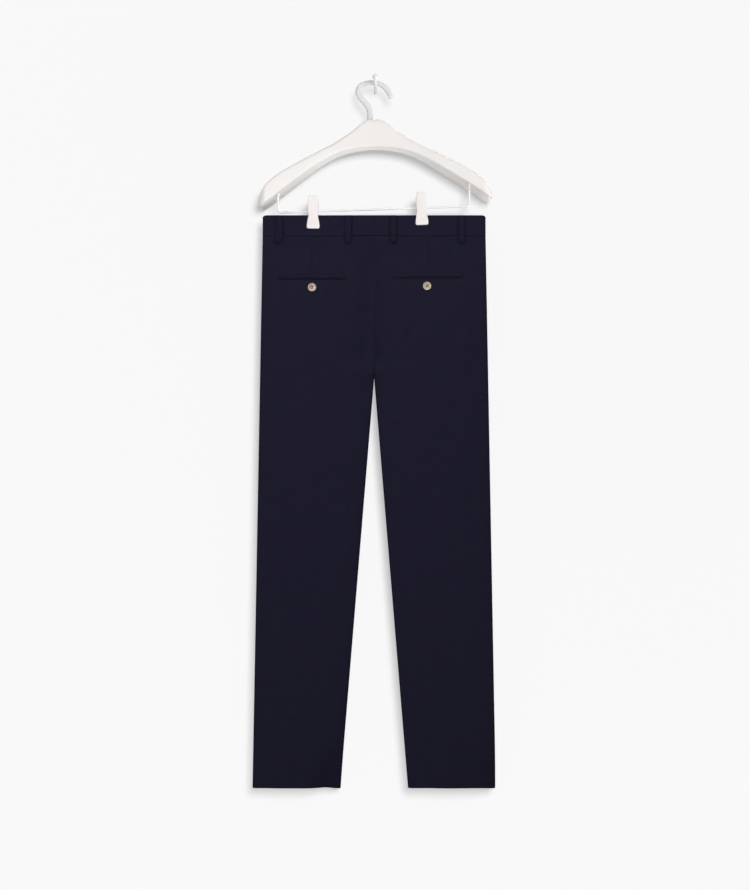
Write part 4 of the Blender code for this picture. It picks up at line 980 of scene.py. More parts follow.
def add_pocket_sides():
    """The side piece that shows in each slant pocket and runs on under the front panel."""
    marks = np.linspace(0.0, 1.0, 9)
    shown = 1.0 - np.cos(marks * np.pi / 2)
    hidden = np.linspace(3.0, POCKET_UNDER, 5)
    inset = np.concatenate([ease(marks, 0.0, 0.5), np.ones(len(hidden))]) * HIDDEN_INSET
    for side in (LEFT, RIGHT):
        outer, inner, weave = [], [], []
        for below in np.linspace(SEAM_GAP / 2, FACING_LENGTH, 56):
            side_edge, width = leg_edges(below)[0], pocket_line(below)
            distance = np.concatenate([side_edge - width * shown, side_edge - width - hidden])
            depth = cloth_depth(side, FRONT, distance, np.full(len(distance), below)) - inset
            z = WAIST_SEAM - below - waist_dip(FRONT, distance, below)
            for rows, sunk in ((outer, 0.0), (inner, WALL)):
                x = CENTRE_X + side * (distance - sunk * (distance > side_edge - 1.0))
                rows.append(xyz(x, MIDDLE_Y + np.maximum(depth - sunk, SEAM_GAP / 2), z))
            weave.append(xyz(side * distance, -below, 0.0))
        piece = add_wall(f"pocket_facing_{SIDE_NAMES[side]}", outer, inner, weave)
        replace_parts(piece, f"pocket_side_{SIDE_NAMES[side]}")


def beside_loops(side, distances, clear):
    """Distances along the waist, with more of them where the belt loops press the cloth in."""
    near = [abs(centre) + hand * (LOOP_WIDTH / 2 + step) for centre in loop_centres(sides=(side,))
            for hand in (-1, 1) for step in (-0.9, -0.1, 0.6, 1.2, 1.9, 2.9, 4.2)]
    kept = [value for value in distances if min(abs(value - other) for other in near) > clear]
    return np.sort(np.array(kept + near))


def band_wrinkles(face, x, below_top):
    """Fine wrinkles of the waistband that come and go, broad ones, and long ones along it."""
    fine = 0.30 * np.sin(x / 7.3 + 0.9 * face + below_top / 19.0) * np.sin(x / 23.0 + face)
    broad = 0.35 * np.sin(x / 15.7 + 1.7 - below_top / 31.0)
    along = 0.25 * np.sin(below_top / 6.2 + x / 41.0)
    return fine + broad + along


def band_row(side, below_top, inset):
    """One row of a half waistband, from the centre back round the side to the front end."""
    clip, other = CLIP_FROM_CENTRE[side], CLIP_FROM_CENTRE[-side]
    level = [np.interp(below_top, WAIST_LEVELS[:, 0], WAIST_LEVELS[:, column]) for column in (1, 2, 3)]
    straight = beside_loops(side, np.linspace(SEWN_GAP, HALF_WAIST - FOLD_RADIUS, 66), 1.2)
    round_side = HALF_WAIST - FOLD_RADIUS + FOLD_RADIUS * np.sin(np.radians((20.0, 38.0, 54.0, 68.0, 80.0)))
    back = np.concatenate([straight, round_side])
    if side == LEFT:
        tab = np.array([9.0, 7.4, 5.8, 4.2, 2.6, 1.0, -3.0, -8.0, -13.0, -18.0, -23.0, -26.5, -TAB_LENGTH])
        front = np.concatenate([back[::-1][back[::-1] > TAB_START + 2.0], tab])
    else:
        front = back[::-1]
    distance = np.concatenate([back, front])
    face = np.concatenate([np.full(len(back), BACK), np.full(len(front), FRONT)])
    width = np.where(distance < 0.0, other, clip)
    depth = np.where(distance < 0.0, waist_depth(-distance, HALF_WAIST, other, level),
                     waist_depth(distance, HALF_WAIST, clip, level))
    if side == LEFT:
        depth = depth + (face == FRONT) * TAB_LIFT * ease(TAB_START - distance, 0.0, TAB_RISE_WIDTH)
    from_clip = np.abs(distance - width)
    loose = ease(from_clip, CLIP_GRIP - 2.0, CLIP_GRIP + 12.0) * ease(HALF_WAIST - distance, 4.0, 14.0)
    x = side * distance
    from_edges = math.sin(math.pi * np.clip(below_top / WAISTBAND_HEIGHT, 0.05, 0.95))
    depth = depth + loose * band_wrinkles(face, x, below_top) * from_edges
    back_pressed, front_pressed = (pressed_by_loops(one_face, x, below_top) for one_face in (BACK, FRONT))
    depth = depth + np.where(face == BACK, back_pressed, front_pressed)
    depth = depth - BAND_GROOVE * (np.exp(-(distance / BAND_GROOVE_WIDTH)**2) * (face == BACK))
    points = np.column_stack([distance, face * depth])
    ways = unit(np.gradient(points, axis=0))
    points = points + inset * np.column_stack([-ways[:, 1], ways[:, 0]])
    points[0, 0] = SEWN_GAP
    z = WAIST_TOP - below_top - waist_dip(FRONT, distance, 0.0) * (face == FRONT)
    bulge = (depth - depth[np.argmin(from_clip)]) * (face == BACK)
    z = z - TOP_HOLLOW * bulge * (1.0 - below_top / WAISTBAND_HEIGHT)
    corner = ease(distance, HALF_WAIST - CORNER_REACH, HALF_WAIST)**2
    z = z - CORNER_DROP * corner * max(0.0, 1.0 - below_top / CORNER_FADE)
    arc = np.concatenate([[0.0], np.cumsum(spans(points))])
    return xyz(CENTRE_X + side * points[:, 0], MIDDLE_Y + points[:, 1], z), arc


def add_waistbands():
    """Folded double, so both edges are rounded: depth under the face, of both sides of the cloth."""
    edge = ((0.0, 0.85, 1.35), (0.15, 0.55, 1.65), (0.5, 0.2, 2.0), (1.2, 0.0, 2.2))
    rows = list(edge)
    rows += [(below, 0.0, WAISTBAND_WALL) for below in np.linspace(3.2, 36.6, 13)]
    rows += [(WAISTBAND_HEIGHT - SEWN_GAP - down, out, back) for down, out, back in reversed(edge)]
    for side in (LEFT, RIGHT):
        outer, inner, weave = [], [], []
        for below_top, out, back in rows:
            line, arc = band_row(side, below_top, out)
            outer.append(line)
            inner.append(band_row(side, below_top, back)[0])
            weave.append(xyz(side * arc, BAND_CUT_FROM - below_top, 0.0))
        word = SIDE_NAMES[side]
        band = add_wall(f"band_{word}", outer, inner, weave)
        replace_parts(band, f"waistband_{word}")


def add_strip(name, grid, face, wall, replaced):
    """A strip of cloth from the points of its under side; its edges are drawn in, so they look round."""
    rows, columns = grid.shape[:2]
    inside = [np.clip(np.minimum(at, 1.0 - at) * (len(at) - 1), 0.0, 1.0)
              for at in (np.linspace(0.0, 1.0, rows), np.linspace(0.0, 1.0, columns))]
    share = np.minimum(inside[0][:, None], inside[1][None, :])
    sunk = 0.5 * wall * (1.0 - np.sqrt(1.0 - (1.0 - share)**2))
    under, over = grid.copy(), grid.copy()
    under[..., 1] += face * sunk
    over[..., 1] += face * (wall - sunk)
    middle = grid[rows // 2, columns // 2]
    weave = np.stack([grid[..., 0] - middle[0] + middle[2], grid[..., 2], 0.0 * sunk], axis=-1)
    strip = add_wall(name, over, under, weave)
    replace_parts(strip, replaced)
    return strip


def add_back_pockets():
    """Two lips each, pressed towards each other, with their ends sewn down."""
    lips = (("upper", SLIT_DROP + SLIT_HALF, LIP_HEIGHT), ("lower", -LIP_HEIGHT, SLIT_DROP - SLIT_HALF))
    for side, centre, z, length, tilt in BACK_POCKETS:
        word = SIDE_NAMES[side]
        xs = CENTRE_X + centre + np.linspace(-length / 2, length / 2, 58)
        for name, low, high in lips:
            grid = np.zeros((LIP_ROWS, len(xs), 3))
            for column, x in enumerate(xs):
                slack = 0.25 * math.sin(x / 9.0 + low) + 0.2 * math.sin(x / 4.1)
                ends = min(1.0, (length / 2 - abs(x - CENTRE_X - centre)) / LIP_END)
                for row, height in enumerate(np.linspace(high, low, LIP_ROWS)):
                    at = z + height + tilt * (x - CENTRE_X - centre)
                    down = row / (LIP_ROWS - 1)
                    toward_slit = down if name == "upper" else 1.0 - down
                    puff = math.sin(math.pi * toward_slit**1.6) * ends * (LIP_PUFF + slack * 0.5)
                    y = outermost([f"back_{word}"], x, at, BACK) - LIP_GAP - max(puff, 0.0)
                    grid[row, column] = (x, y, at)
            add_strip(f"pocket_lip_{word}_{name}", grid, BACK, LIP_WALL, f"welt_{word}_{name}")


def loop_point(centre, face, lift, flare, along, across, low, surfaces):
    """A point on the under side of a belt loop; along and across go from 0 to 1 and from -1 to 1. A
    loop with a flare is narrower above, wider below and bowed a little to one side."""
    top = WAIST_TOP - LOOP_TOP_INSET
    z = top - low - along * (top - (WAIST_SEAM - LOOP_BELOW_SEAM))
    half = (LOOP_WIDTH - 0.3 * flare + 1.2 * flare * ease(along, LOOP_FLARE_FROM - 0.2, LOOP_FLARE_FULL)) / 2
    arch = math.sin(math.pi * min(along / LOOP_ARCH_END, 1.0))**LOOP_ARCH_POWER
    base = max(face * outermost(surfaces, CENTRE_X + centre + step, z, face) for step in (-half, 0.0, half))
    crown = LOOP_CROWN * (1.0 - across**4)
    x = CENTRE_X + centre + across * half + flare * 0.35 * math.sin(math.pi * along)
    return x, face * (base + LAY_GAP + (lift - LAY_GAP) * arch + crown), z


def add_belt_loops():
    """Four loops behind and two in front, each arched between its sewn ends."""
    stitched = []
    for name, face, centre, lift, flare in BELT_LOOPS:
        word = SIDE_NAMES[RIGHT if centre > 0 else LEFT]
        surfaces = [f"band_{word}", f"{'back' if face == BACK else 'front'}_{word}"]
        low = float(waist_dip(face, centre, 0.0))
        grid = np.array([[loop_point(centre, face, lift, flare, along, across, low, surfaces)
                          for across in np.linspace(-1.0, 1.0, LOOP_COLUMNS)]
                         for along in np.linspace(0.0, 1.0, LOOP_ROWS)])
        add_strip(name.replace("belt_loop", "loop"), grid, face, LOOP_WALL, name)
        lines = [grid[1:-1, column] for column in LOOP_STITCH_COLUMNS]
        lines += [grid[row, 1:-1] for row in LOOP_STITCH_ROWS]
        stitched += [facing(line + (0.0, face * (LOOP_WALL - 0.05), 0.0), face) for line in lines]
    add_stitches("loop_stitches", stitched)


# ---------------------------------------------------------------- stitches
def facing(path, face):
    """A line for stitches on cloth that faces straight to the back or the front."""
    return path, np.tile((0.0, float(face), 0.0), (len(path), 1))


def add_stitches(name, lines, pitch=STITCH_PITCH, length=STITCH_LENGTH, width=THREAD_WIDTH):
    """Rows of machine stitches as one mesh: each is a short thread that dips in at both ends."""
    around = np.radians((0.0, 60.0, 120.0, 180.0, 240.0, 300.0))
    stations = np.array([0.0, 0.14, 0.5, 0.86, 1.0])
    thick = np.array([0.25, 0.85, 1.0, 0.85, 0.25])
    rise = np.array([-0.5, 0.25, 0.45, 0.25, -0.5])
    threads = []
    for path, normals in lines:
        steps = np.concatenate([[0.0], np.cumsum(spans(path))])
        count = max(1, int(steps[-1] / pitch))
        for start in np.arange(count) * steps[-1] / count:
            at = start + stations * length
            centre = np.column_stack([np.interp(at, steps, path[:, axis]) for axis in range(3)])
            out = unit(np.array([np.interp(start, steps, normals[:, axis]) for axis in range(3)]))
            across = np.cross(unit(centre[-1] - centre[0]), out)
            section = np.cos(around)[:, None] * across + 0.8 * np.sin(around)[:, None] * out
            threads.append(centre[:, None] + (rise * width)[:, None, None] * out
                           + (thick * width)[:, None, None] * section)
    add_lofts(name, threads, "navy_thread", "cloth", sharp=80.0)


def panel_path(side, face, distances, belows):
    """A line on the outside of a panel, with the way that the cloth faces along it."""
    def at(distance, below):
        places = ((np.array([d]), np.array(b)) for d, b in zip(distance, below))
        return np.array([cloth_points(side, face, share_across(d, b), b, 0.0)[0] for d, b in places])
    path = at(distances, belows)
    across = at(distances + 0.5, belows) - path
    down = at(distances, belows + 0.5) - path
    normals = unit(np.cross(across, down))
    return path, normals * np.sign(normals[:, 1:2] * face)


def add_seam_stitches():
    """Round the fly, along the pocket openings and under the top edge of the waistband."""
    lines = []
    for side in (LEFT, RIGHT):
        if side == LEFT:
            below = np.arange(4.0, FLY_LENGTH + 2.0, 3.0)
            round_end = np.sqrt(np.clip(1.0 - ((below - FLY_TURN) / FLY_TURN_LENGTH)**2, 0.0, 1.0))
            fly = np.where(below < FLY_TURN, FLY_STITCH, FLY_STITCH * round_end + 1.5)
            lines.append(panel_path(side, FRONT, fly, below))
        pocket = np.arange(2.0, POCKET_DROP - 8.0, 3.0)
        for inset in (1.6, POCKET_STITCH):
            edge = leg_edges(pocket)[0] - pocket_line(pocket) - inset
            lines.append(panel_path(side, FRONT, edge, pocket))
        line = band_row(side, BAND_STITCH, 0.0)[0]
        ways = unit(np.gradient(line[:, :2], axis=0))
        lines.append((line, xyz(ways[:, 1], -ways[:, 0], 0.0) * -side))
    add_stitches("seam_stitches", lines)


def add_pocket_stitches():
    """Edge stitching round the lips, and the tacks at their ends."""
    lines, tacks = [], []
    for side, centre, z, length, tilt in BACK_POCKETS:
        word = SIDE_NAMES[side]
        names = [f"back_{word}", f"pocket_lip_{word}_upper", f"pocket_lip_{word}_lower"]
        middle = CENTRE_X + centre
        for height in (LIP_HEIGHT + 1.2, -LIP_HEIGHT - 1.2):
            places = [(x, z + height + tilt * x) for x in np.linspace(-length / 2, length / 2, 40)]
            path = np.array([(middle + x, outermost(names, middle + x, up, BACK), up) for x, up in places])
            lines.append(facing(path, BACK))
        for end in (-1, 1):
            fall = tilt * end * length / 2
            for step in np.arange(0.0, 2.4, 0.45):
                x = middle + end * (length / 2 - 0.4 + step)
                path = np.array([(x, outermost(names, x, z + height, BACK) - 0.1, z + height + fall)
                                 for height in np.linspace(-5.4, 5.4, 5)])
                tacks.append(facing(path, BACK))
    add_stitches("pocket_stitches", lines)
    add_stitches("pocket_tacks", tacks, pitch=10.8, length=10.6, width=0.3)


def add_hem_stitches():
    """A blind hem: one short stitch catches the face of the cloth now and then."""
    lines = []
    below = SIDE_LENGTH - HEM_HEIGHT + 1.5
    side_edge, inner_edge = leg_edges(below)
    distances = np.arange(inner_edge + 6.0, side_edge - 5.0, 3.0)
    for side in (LEFT, RIGHT):
        for face in (BACK, FRONT):
            lines.append(panel_path(side, face, distances, np.full(len(distances), below)))
    add_stitches("hem_stitches", lines, pitch=8.0, length=1.3, width=0.2)


# ---------------------------------------------------------------- buttons and zip
def add_buttonhole(name, x, z, seat, face):
    """A keyhole buttonhole: a slit painted near black as shade, with an eyelet at its lower end, whipped all
    round.
    """
    half = BUTTONHOLE_LENGTH / 2
    low, high = z - half + EYELET_RADIUS, z + half
    outline = [(EYELET_RADIUS * math.sin(turn), low - EYELET_RADIUS * math.cos(turn))
               for turn in np.linspace(-2.6, 2.6, 22)]
    outline += [(BUTTONHOLE_HALF, up) for up in np.linspace(low + 2.0, high, 14)]
    outline += [(-BUTTONHOLE_HALF, up) for up in np.linspace(high, low + 2.0, 14)]
    outline = np.array(outline)
    rings = [xyz(x + outline[:, 0], seat + face * height, outline[:, 1]) for height in (-0.35, 0.06)]
    add_loft(f"{name}_slit", rings, "slit_shadow", "cloth", sharp=30.0)
    middle = np.array((0.0, z))
    tacks = []
    for index, point in enumerate(outline):
        after, before = outline[(index + 1) % len(outline)], outline[index - 1]
        way = unit(after - before)
        out = np.array((-way[1], way[0]))
        if out @ (point - middle - (0.0, 0.5 * (point[1] - z))) < 0.0:
            out = -out
        for step in (0.0, 0.5):
            start = blend(point, after, step)
            path = np.array([(x + at[0], seat + face * 0.08, at[1])
                             for at in (start, start + out * WHIP_LENGTH)])
            tacks.append(facing(path, face))
    add_stitches(f"{name}_whipping", tacks, pitch=WHIP_LENGTH, length=WHIP_LENGTH, width=0.24)


def flat_circle(x, z, radius, angles, y):
    """A circle at one depth, seen round from the front."""
    return xyz(x + radius * np.cos(angles), y, z + radius * np.sin(angles))


def add_button(name, face, x, z, surfaces, buttonhole=True):
    """A four-hole button with a raised rim, turned on its axis, and sewn on with two bars of thread."""
    around = [(0.0, 0.0)] + [(BUTTON_REST_RADIUS * math.cos(turn), BUTTON_REST_RADIUS * math.sin(turn))
                             for turn in np.radians(range(0, 360, 45))]
    cloth = face * max(face * outermost(surfaces, x + dx, z + dz, face) for dx, dz in around)
    seat = cloth + face * SEAM_GAP
    angles = turns(BUTTON_SIDES)
    rings = [flat_circle(x, z, radius, angles, seat + face * height) for radius, height in BUTTON_PROFILE]
    button = add_loft(f"{name}_turned", rings, "horn", "button", sharp=BUTTON_SHARP)
    cutters = []
    for dx, dz in ((1, 1), (1, -1), (-1, -1), (-1, 1)):
        hole = [flat_circle(x + dx * BUTTON_HOLE_OFFSET, z + dz * BUTTON_HOLE_OFFSET, BUTTON_HOLE_RADIUS,
                            angles[::3], seat + face * height) for height in (-1.0, 4.0)]
        cutters.append(add_loft(f"{name}_drill_{len(cutters)}", hole, "horn", "button"))
    drill(button, cutters)
    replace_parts(button, name)
    threads = []
    for dz in (-1, 1):
        for step in (-0.45, 0.0, 0.45):
            at = z + dz * BUTTON_HOLE_OFFSET + step
            path = np.array([(x + across * BUTTON_HOLE_OFFSET, seat + face * height, at)
                             for across, height in THREAD_BAR])
            threads.append(facing(path, face))
    add_stitches(f"{name}_thread", threads, pitch=4.4, length=4.4, width=0.3)
    if buttonhole:
        add_buttonhole(f"{name}_hole", x, z - BUTTONHOLE_DROP, outermost(surfaces, x, z - 9.0, face), face)


def drill(solid, cutters):
    """Cut the holes and keep the result as the solid's own mesh."""
    for cutter in cutters:
        step = solid.modifiers.new(cutter.name, "BOOLEAN")
        step.operation = "DIFFERENCE"
        step.solver = "EXACT"
        step.object = cutter
    bpy.context.view_layer.update()
    shown = solid.evaluated_get(bpy.context.evaluated_depsgraph_get())
    cut_mesh = bpy.data.meshes.new_from_object(shown)
    solid.modifiers.clear()
    solid.data = cut_mesh
    cut_mesh.set_sharp_from_angle(angle=math.radians(BUTTON_SHARP))
    for cutter in cutters:
        bpy.data.objects.remove(cutter, do_unlink=True)


def tape_place(step, below):
    """Depth and height of the zip at a distance from the centre line."""
    side = RIGHT if step > 0 else LEFT
    edge = ease(abs(step), 0.6 * ZIP_HALF_WIDTH, ZIP_HALF_WIDTH)
    cloth = float(cloth_depth(side, FRONT, np.array(abs(step)), np.array(below)))
    return cloth - blend(ZIP_INSET, WALL + LAY_GAP, edge), WAIST_SEAM - below - waist_dip(FRONT, step, below)


def add_zip_tape():
    """The tape follows the inside of the fly; its edges lie closer to the cloth."""
    outer, inner, weave = [], [], []
    steps = np.linspace(-ZIP_HALF_WIDTH, ZIP_HALF_WIDTH, 15)
    for below in np.linspace(ZIP_TOP, ZIP_END, 40):
        depth, z = np.transpose([tape_place(step, below) for step in steps])
        for rows, sunk in ((outer, 0.0), (inner, TAPE_WALL)):
            rows.append(xyz(CENTRE_X + steps, MIDDLE_Y + depth - sunk, z))
        weave.append(xyz(steps, z, 0.0))
    tape = add_wall("zip_tape_woven", outer, inner, weave, "zip_tape", "zip_tape")
    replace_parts(tape, "fly_zip")


def add_zip_teeth():
    """Flat teeth, set into the tape from both sides in turn."""
    ring = rounded_ring(((-0.6, -0.3), (2.6, -0.3), (2.6, 0.3), (-0.6, 0.3)), (0.25,) * 4, 2)
    teeth = []
    for index, below in enumerate(np.arange(ZIP_TOP + 3.0, ZIP_END - 3.0, TOOTH_PITCH / 2)):
        hand = 1 if index % 2 else -1
        depth, z = tape_place(0.0, below)
        teeth.append([xyz(CENTRE_X + hand * ring[:, 0], MIDDLE_Y + depth + height, z + ring[:, 1])
                      for height in (-0.9, 0.75)])
    add_lofts("zip_teeth", teeth, "zip_nickel", "zip_metal", sharp=30.0)


def add_zip_slider():
    """The slider at the top of the zip, with its pull hanging down."""
    low, high = (np.array(corner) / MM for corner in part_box("zip_slider"))
    middle_x, seat = (low[0] + high[0]) / 2, low[1]
    rings = []
    for z, half, height in ((high[2], 1.7, 0.9), (high[2] - 1.0, 3.3, 1.5), (high[2] - 5.0, 3.0, 1.5),
                            (high[2] - 8.0, 2.7, 1.4), (high[2] - 9.0, 1.8, 0.8), (low[2] + 4.0, 2.4, 0.8),
                            (low[2] + 1.0, 2.6, 0.8), (low[2], 1.5, 0.7)):
        corners = ((-half, 0.0), (half, 0.0), (half, height), (-half, height))
        ring = rounded_ring(corners, (0.15, 0.15, 0.5, 0.5), 3)
        rings.append(xyz(middle_x + ring[:, 0], seat + ring[:, 1], z))
    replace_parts(add_loft("slider_and_pull", rings, "zip_nickel", "zip_metal"), "zip_slider")


# ---------------------------------------------------------------- the hanger
def rolled(x, y, z):
    """Points of the hanger body, turned by its roll and placed."""
    z = z - HANGER_ROLL_Z
    return xyz(HANGER_X + x * math.cos(HANGER_ROLL) - z * math.sin(HANGER_ROLL), y,
               HANGER_ROLL_Z + x * math.sin(HANGER_ROLL) + z * math.cos(HANGER_ROLL))


def hanger_ring(x):
    """The section of the arms at a distance from the middle; one arm's lower edge hangs lower."""
    distance, side = abs(x), RIGHT if x > 0 else LEFT
    top = smooth_column(ARM_PROFILE, 1, distance)
    bottom = smooth_column(ARM_PROFILE, 2, distance) + side * ARM_SKEW * ease(distance, SKEW_FROM, SKEW_FULL)
    front, rear, drop = (smooth_column(ARM_DEPTHS, column, distance) for column in (1, 2, 3))
    past = max(0.0, distance - ARM_END + END_ROUND) / END_ROUND
    keep = math.sqrt(1.0 - END_NARROWING * past**2)
    middle = (front + rear) / 2
    front, rear = middle + (front - middle) * keep, middle + (rear - middle) * keep
    bottom = min(bottom, top - END_HEIGHT)
    corners = ((front, bottom), (front, top), (rear, top), (rear, bottom - drop * keep))
    ring = rounded_ring(corners, (BOTTOM_ROUND, TOP_ROUND, TOP_ROUND, BOTTOM_ROUND), 13)
    return rolled(x, ring[:, 0], ring[:, 1])


def body_above(x, z):
    """Height of the underside of the hanger's body above a point of the wire."""
    start = Vector((x, MIDDLE_Y, z)) * MM
    return SURFACES["hanger_shoulders"].ray_cast(start, Vector((0.0, 0.0, 1.0)))[0].z / MM


def add_hanger_body():
    """A broad moulded hanger; a low collar holds each leg of the wire."""
    even = np.linspace(0.0, ARM_END - END_ROUND, 90)
    end = ARM_END - END_ROUND + END_ROUND * np.sin(np.linspace(0.0, np.pi / 2, 22)[1:-1]) * 0.992
    stations = np.concatenate([even, end])
    stations = np.concatenate([-stations[:0:-1], stations])
    body = add_loft("hanger_shoulders", [hanger_ring(float(x)) for x in stations], "hanger_plastic", "hanger")
    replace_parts(body, "hanger_body")
    angles = turns(24)
    bore, low, high = BAR_RADIUS + COLLAR_CLEAR, -COLLAR_HEIGHT, COLLAR_INTO_BODY
    section = ((bore, low), (COLLAR_RADIUS - 0.5, low), (COLLAR_RADIUS, low + 0.6),
               (COLLAR_RADIUS + 0.5, high), (bore, high))
    for index, (x, z) in enumerate((BAR_LEFT, BAR_RIGHT)):
        underside = body_above(x, z)
        rings = [xyz(x + radius * np.cos(angles), MIDDLE_Y + radius * np.sin(angles), underside + height)
                 for radius, height in section]
        add_loft(f"wire_collar_{index + 1}", rings, "hanger_plastic", "hanger", closed=True)


def hook_ring(x, z, way, half_width, half_depth):
    """The band's section: an oval with slightly flattened faces."""
    angles = turns(48)
    across, deep = (half * np.sign(wave) * np.abs(wave)**HOOK_OVAL
                    for half, wave in ((half_width, np.cos(angles)), (half_depth, np.sin(angles))))
    return xyz(x - way[1] * across, HOOK_Y + deep, z + way[0] * across)


def add_hanger_hook():
    """A flat band, bent to a hook, with a rounded tip."""
    path = smooth_path(HOOK_PATH, 14)
    ways = unit(np.gradient(path[:, :2], axis=0))
    ways[0] = (0.0, 1.0)
    rings = [hook_ring(x, z, way, half_width, HOOK_HALF_DEPTH) for (x, z, half_width), way in zip(path, ways)]
    x, z, half_width = path[-1]
    for turn in np.radians((20.0, 38.0, 54.0, 68.0, 79.0)):
        share, past = math.cos(turn), HOOK_TIP * math.sin(turn)
        rings.append(hook_ring(x + ways[-1][0] * past, z + ways[-1][1] * past, ways[-1],
                               half_width * share, HOOK_HALF_DEPTH * share))
    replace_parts(add_loft("hook_band", rings, "hook_plastic", "hanger_hook"), "hanger_hook")


def add_clips():
    """Sprung clips, moulded in one with their jaws: rounded all round, wider at the mouth."""
    bar_slope = (BAR_RIGHT[1] - BAR_LEFT[1]) / (BAR_RIGHT[0] - BAR_LEFT[0])
    along = np.array([1.0, 0.0, bar_slope]) / math.hypot(1.0, bar_slope)
    upward = np.array([-along[2], 0.0, along[0]])
    heights = np.concatenate([np.linspace(24.4, 20.5, 10), np.linspace(19.0, -31.0, 30),
                              np.linspace(-32.0, JAW_PROFILE[-1, 0], 10)])
    bore, bevel = BAR_RADIUS + SEAM_GAP, BARREL_RADIUS - BARREL_BEVEL
    section = ((bore, -1.0), (bevel, -1.0), (BARREL_RADIUS, -0.93),
               (BARREL_RADIUS, 0.93), (bevel, 1.0), (bore, 1.0))
    for side, x, lean in CLIPS:
        bar_z = BAR_LEFT[1] + bar_slope * (x - BAR_LEFT[0])
        word = SIDE_NAMES[side]
        for face, jaw in ((BACK, "front"), (FRONT, "rear")):
            rings = []
            for up in heights:
                half, inner, wall = (smooth_column(JAW_PROFILE[::-1], column, up) for column in (1, 2, 3))
                corners = ((-half, inner), (half, inner), (half, inner + wall), (-half, inner + wall))
                ring = rounded_ring(corners, (0.3, 0.3, JAW_ROUND, JAW_ROUND), 4)
                rings.append(xyz(x + ring[:, 0] * math.cos(lean) - up * math.sin(lean),
                                 MIDDLE_Y + face * ring[:, 1],
                                 bar_z + ring[:, 0] * math.sin(lean) + up * math.cos(lean)))
            piece = add_loft(f"clip_{word}_{jaw}", rings, "clip_plastic", "hanger")
            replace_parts(piece, f"clip_{word}_{jaw}_jaw")
        middle = np.array([x, MIDDLE_Y, bar_z - BAR_SAG])
        rings = []
        for angle in turns(40):
            out = np.array([0.0, 1.0, 0.0]) * math.sin(angle) + upward * math.cos(angle)
            rings.append([middle + out * radius + along * step * BARREL_LENGTH / 2
                          for radius, step in section])
        barrel = add_loft(f"clip_{word}_pivot", rings, "clip_plastic", "hanger", closed=True)
        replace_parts(barrel, f"clip_{word}_barrel")


def round_rod(path, radii, plane):
    """Round sections along a path in a plane, which is given by its normal."""
    path, plane = np.array(path, float), np.array(plane, float)
    angles = turns(ROD_SIDES)[:, None]
    return [point + radius * (np.cos(angles) * plane + np.sin(angles) * np.cross(way, plane))
            for point, way, radius in zip(path, unit(np.gradient(path, axis=0)), radii)]


def add_hanger_wire():
    """Two legs that go up into the body, and the bar that the clips slide on."""
    halves = []
    for (x, z), (other_x, other_z) in ((BAR_LEFT, BAR_RIGHT), (BAR_RIGHT, BAR_LEFT)):
        corner = np.array((x, MIDDLE_Y, z - BAR_SAG))
        along = unit(np.array((other_x - x, 0.0, other_z - z)))
        start, end = corner + (0.0, 0.0, BAR_BEND), corner + along * BAR_BEND
        underside = body_above(x, z - BAR_SAG)
        bend = bent(start, corner, end, 15)
        leg = [(x, MIDDLE_Y, underside + BAR_INTO_BODY), (x, MIDDLE_Y, underside - 2.0)]
        halves.append([*leg, start + (0.0, 0.0, 2.0), *bend, end + along * 2.0])
    path = halves[0] + halves[1][::-1]
    rings = round_rod(path, [BAR_RADIUS] * len(path), (0.0, 1.0, 0.0))
    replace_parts(add_loft("hanger_wire", rings, "white_wire", "bar"), "hanger_bar")


def add_wall_hook():
    """A plain rod out of the wall, turned up in front of the hanger's hook, with a knob on its end."""
    straight = WALL_HOOK_REACH - WALL_HOOK_BEND
    path = [(0.0, -out, WALL_HOOK_LIFT) for out in (0.0, 0.5 * straight, straight - 2.0, straight)]
    for turn in np.radians(range(9, 89, 8)):
        path.append((0.0, -straight - WALL_HOOK_BEND * math.sin(turn),
                     WALL_HOOK_LIFT + WALL_HOOK_BEND * (1.0 - math.cos(turn))))
    radii = [WALL_HOOK_ROD] * len(path)
    low = math.acos(WALL_HOOK_ROD / WALL_HOOK_KNOB)
    for turn in np.linspace(-low, math.radians(86.0), 20):
        path.append((0.0, -WALL_HOOK_REACH, WALL_HOOK_KNOB_Z + WALL_HOOK_KNOB * math.sin(turn)))
        radii.append(WALL_HOOK_KNOB * math.cos(turn))
    rings = round_rod(path, radii, (1.0, 0.0, 0.0))
    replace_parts(add_loft("hook_on_wall", rings, "wall_hook_enamel", "wall_hook"), "wall_hook")


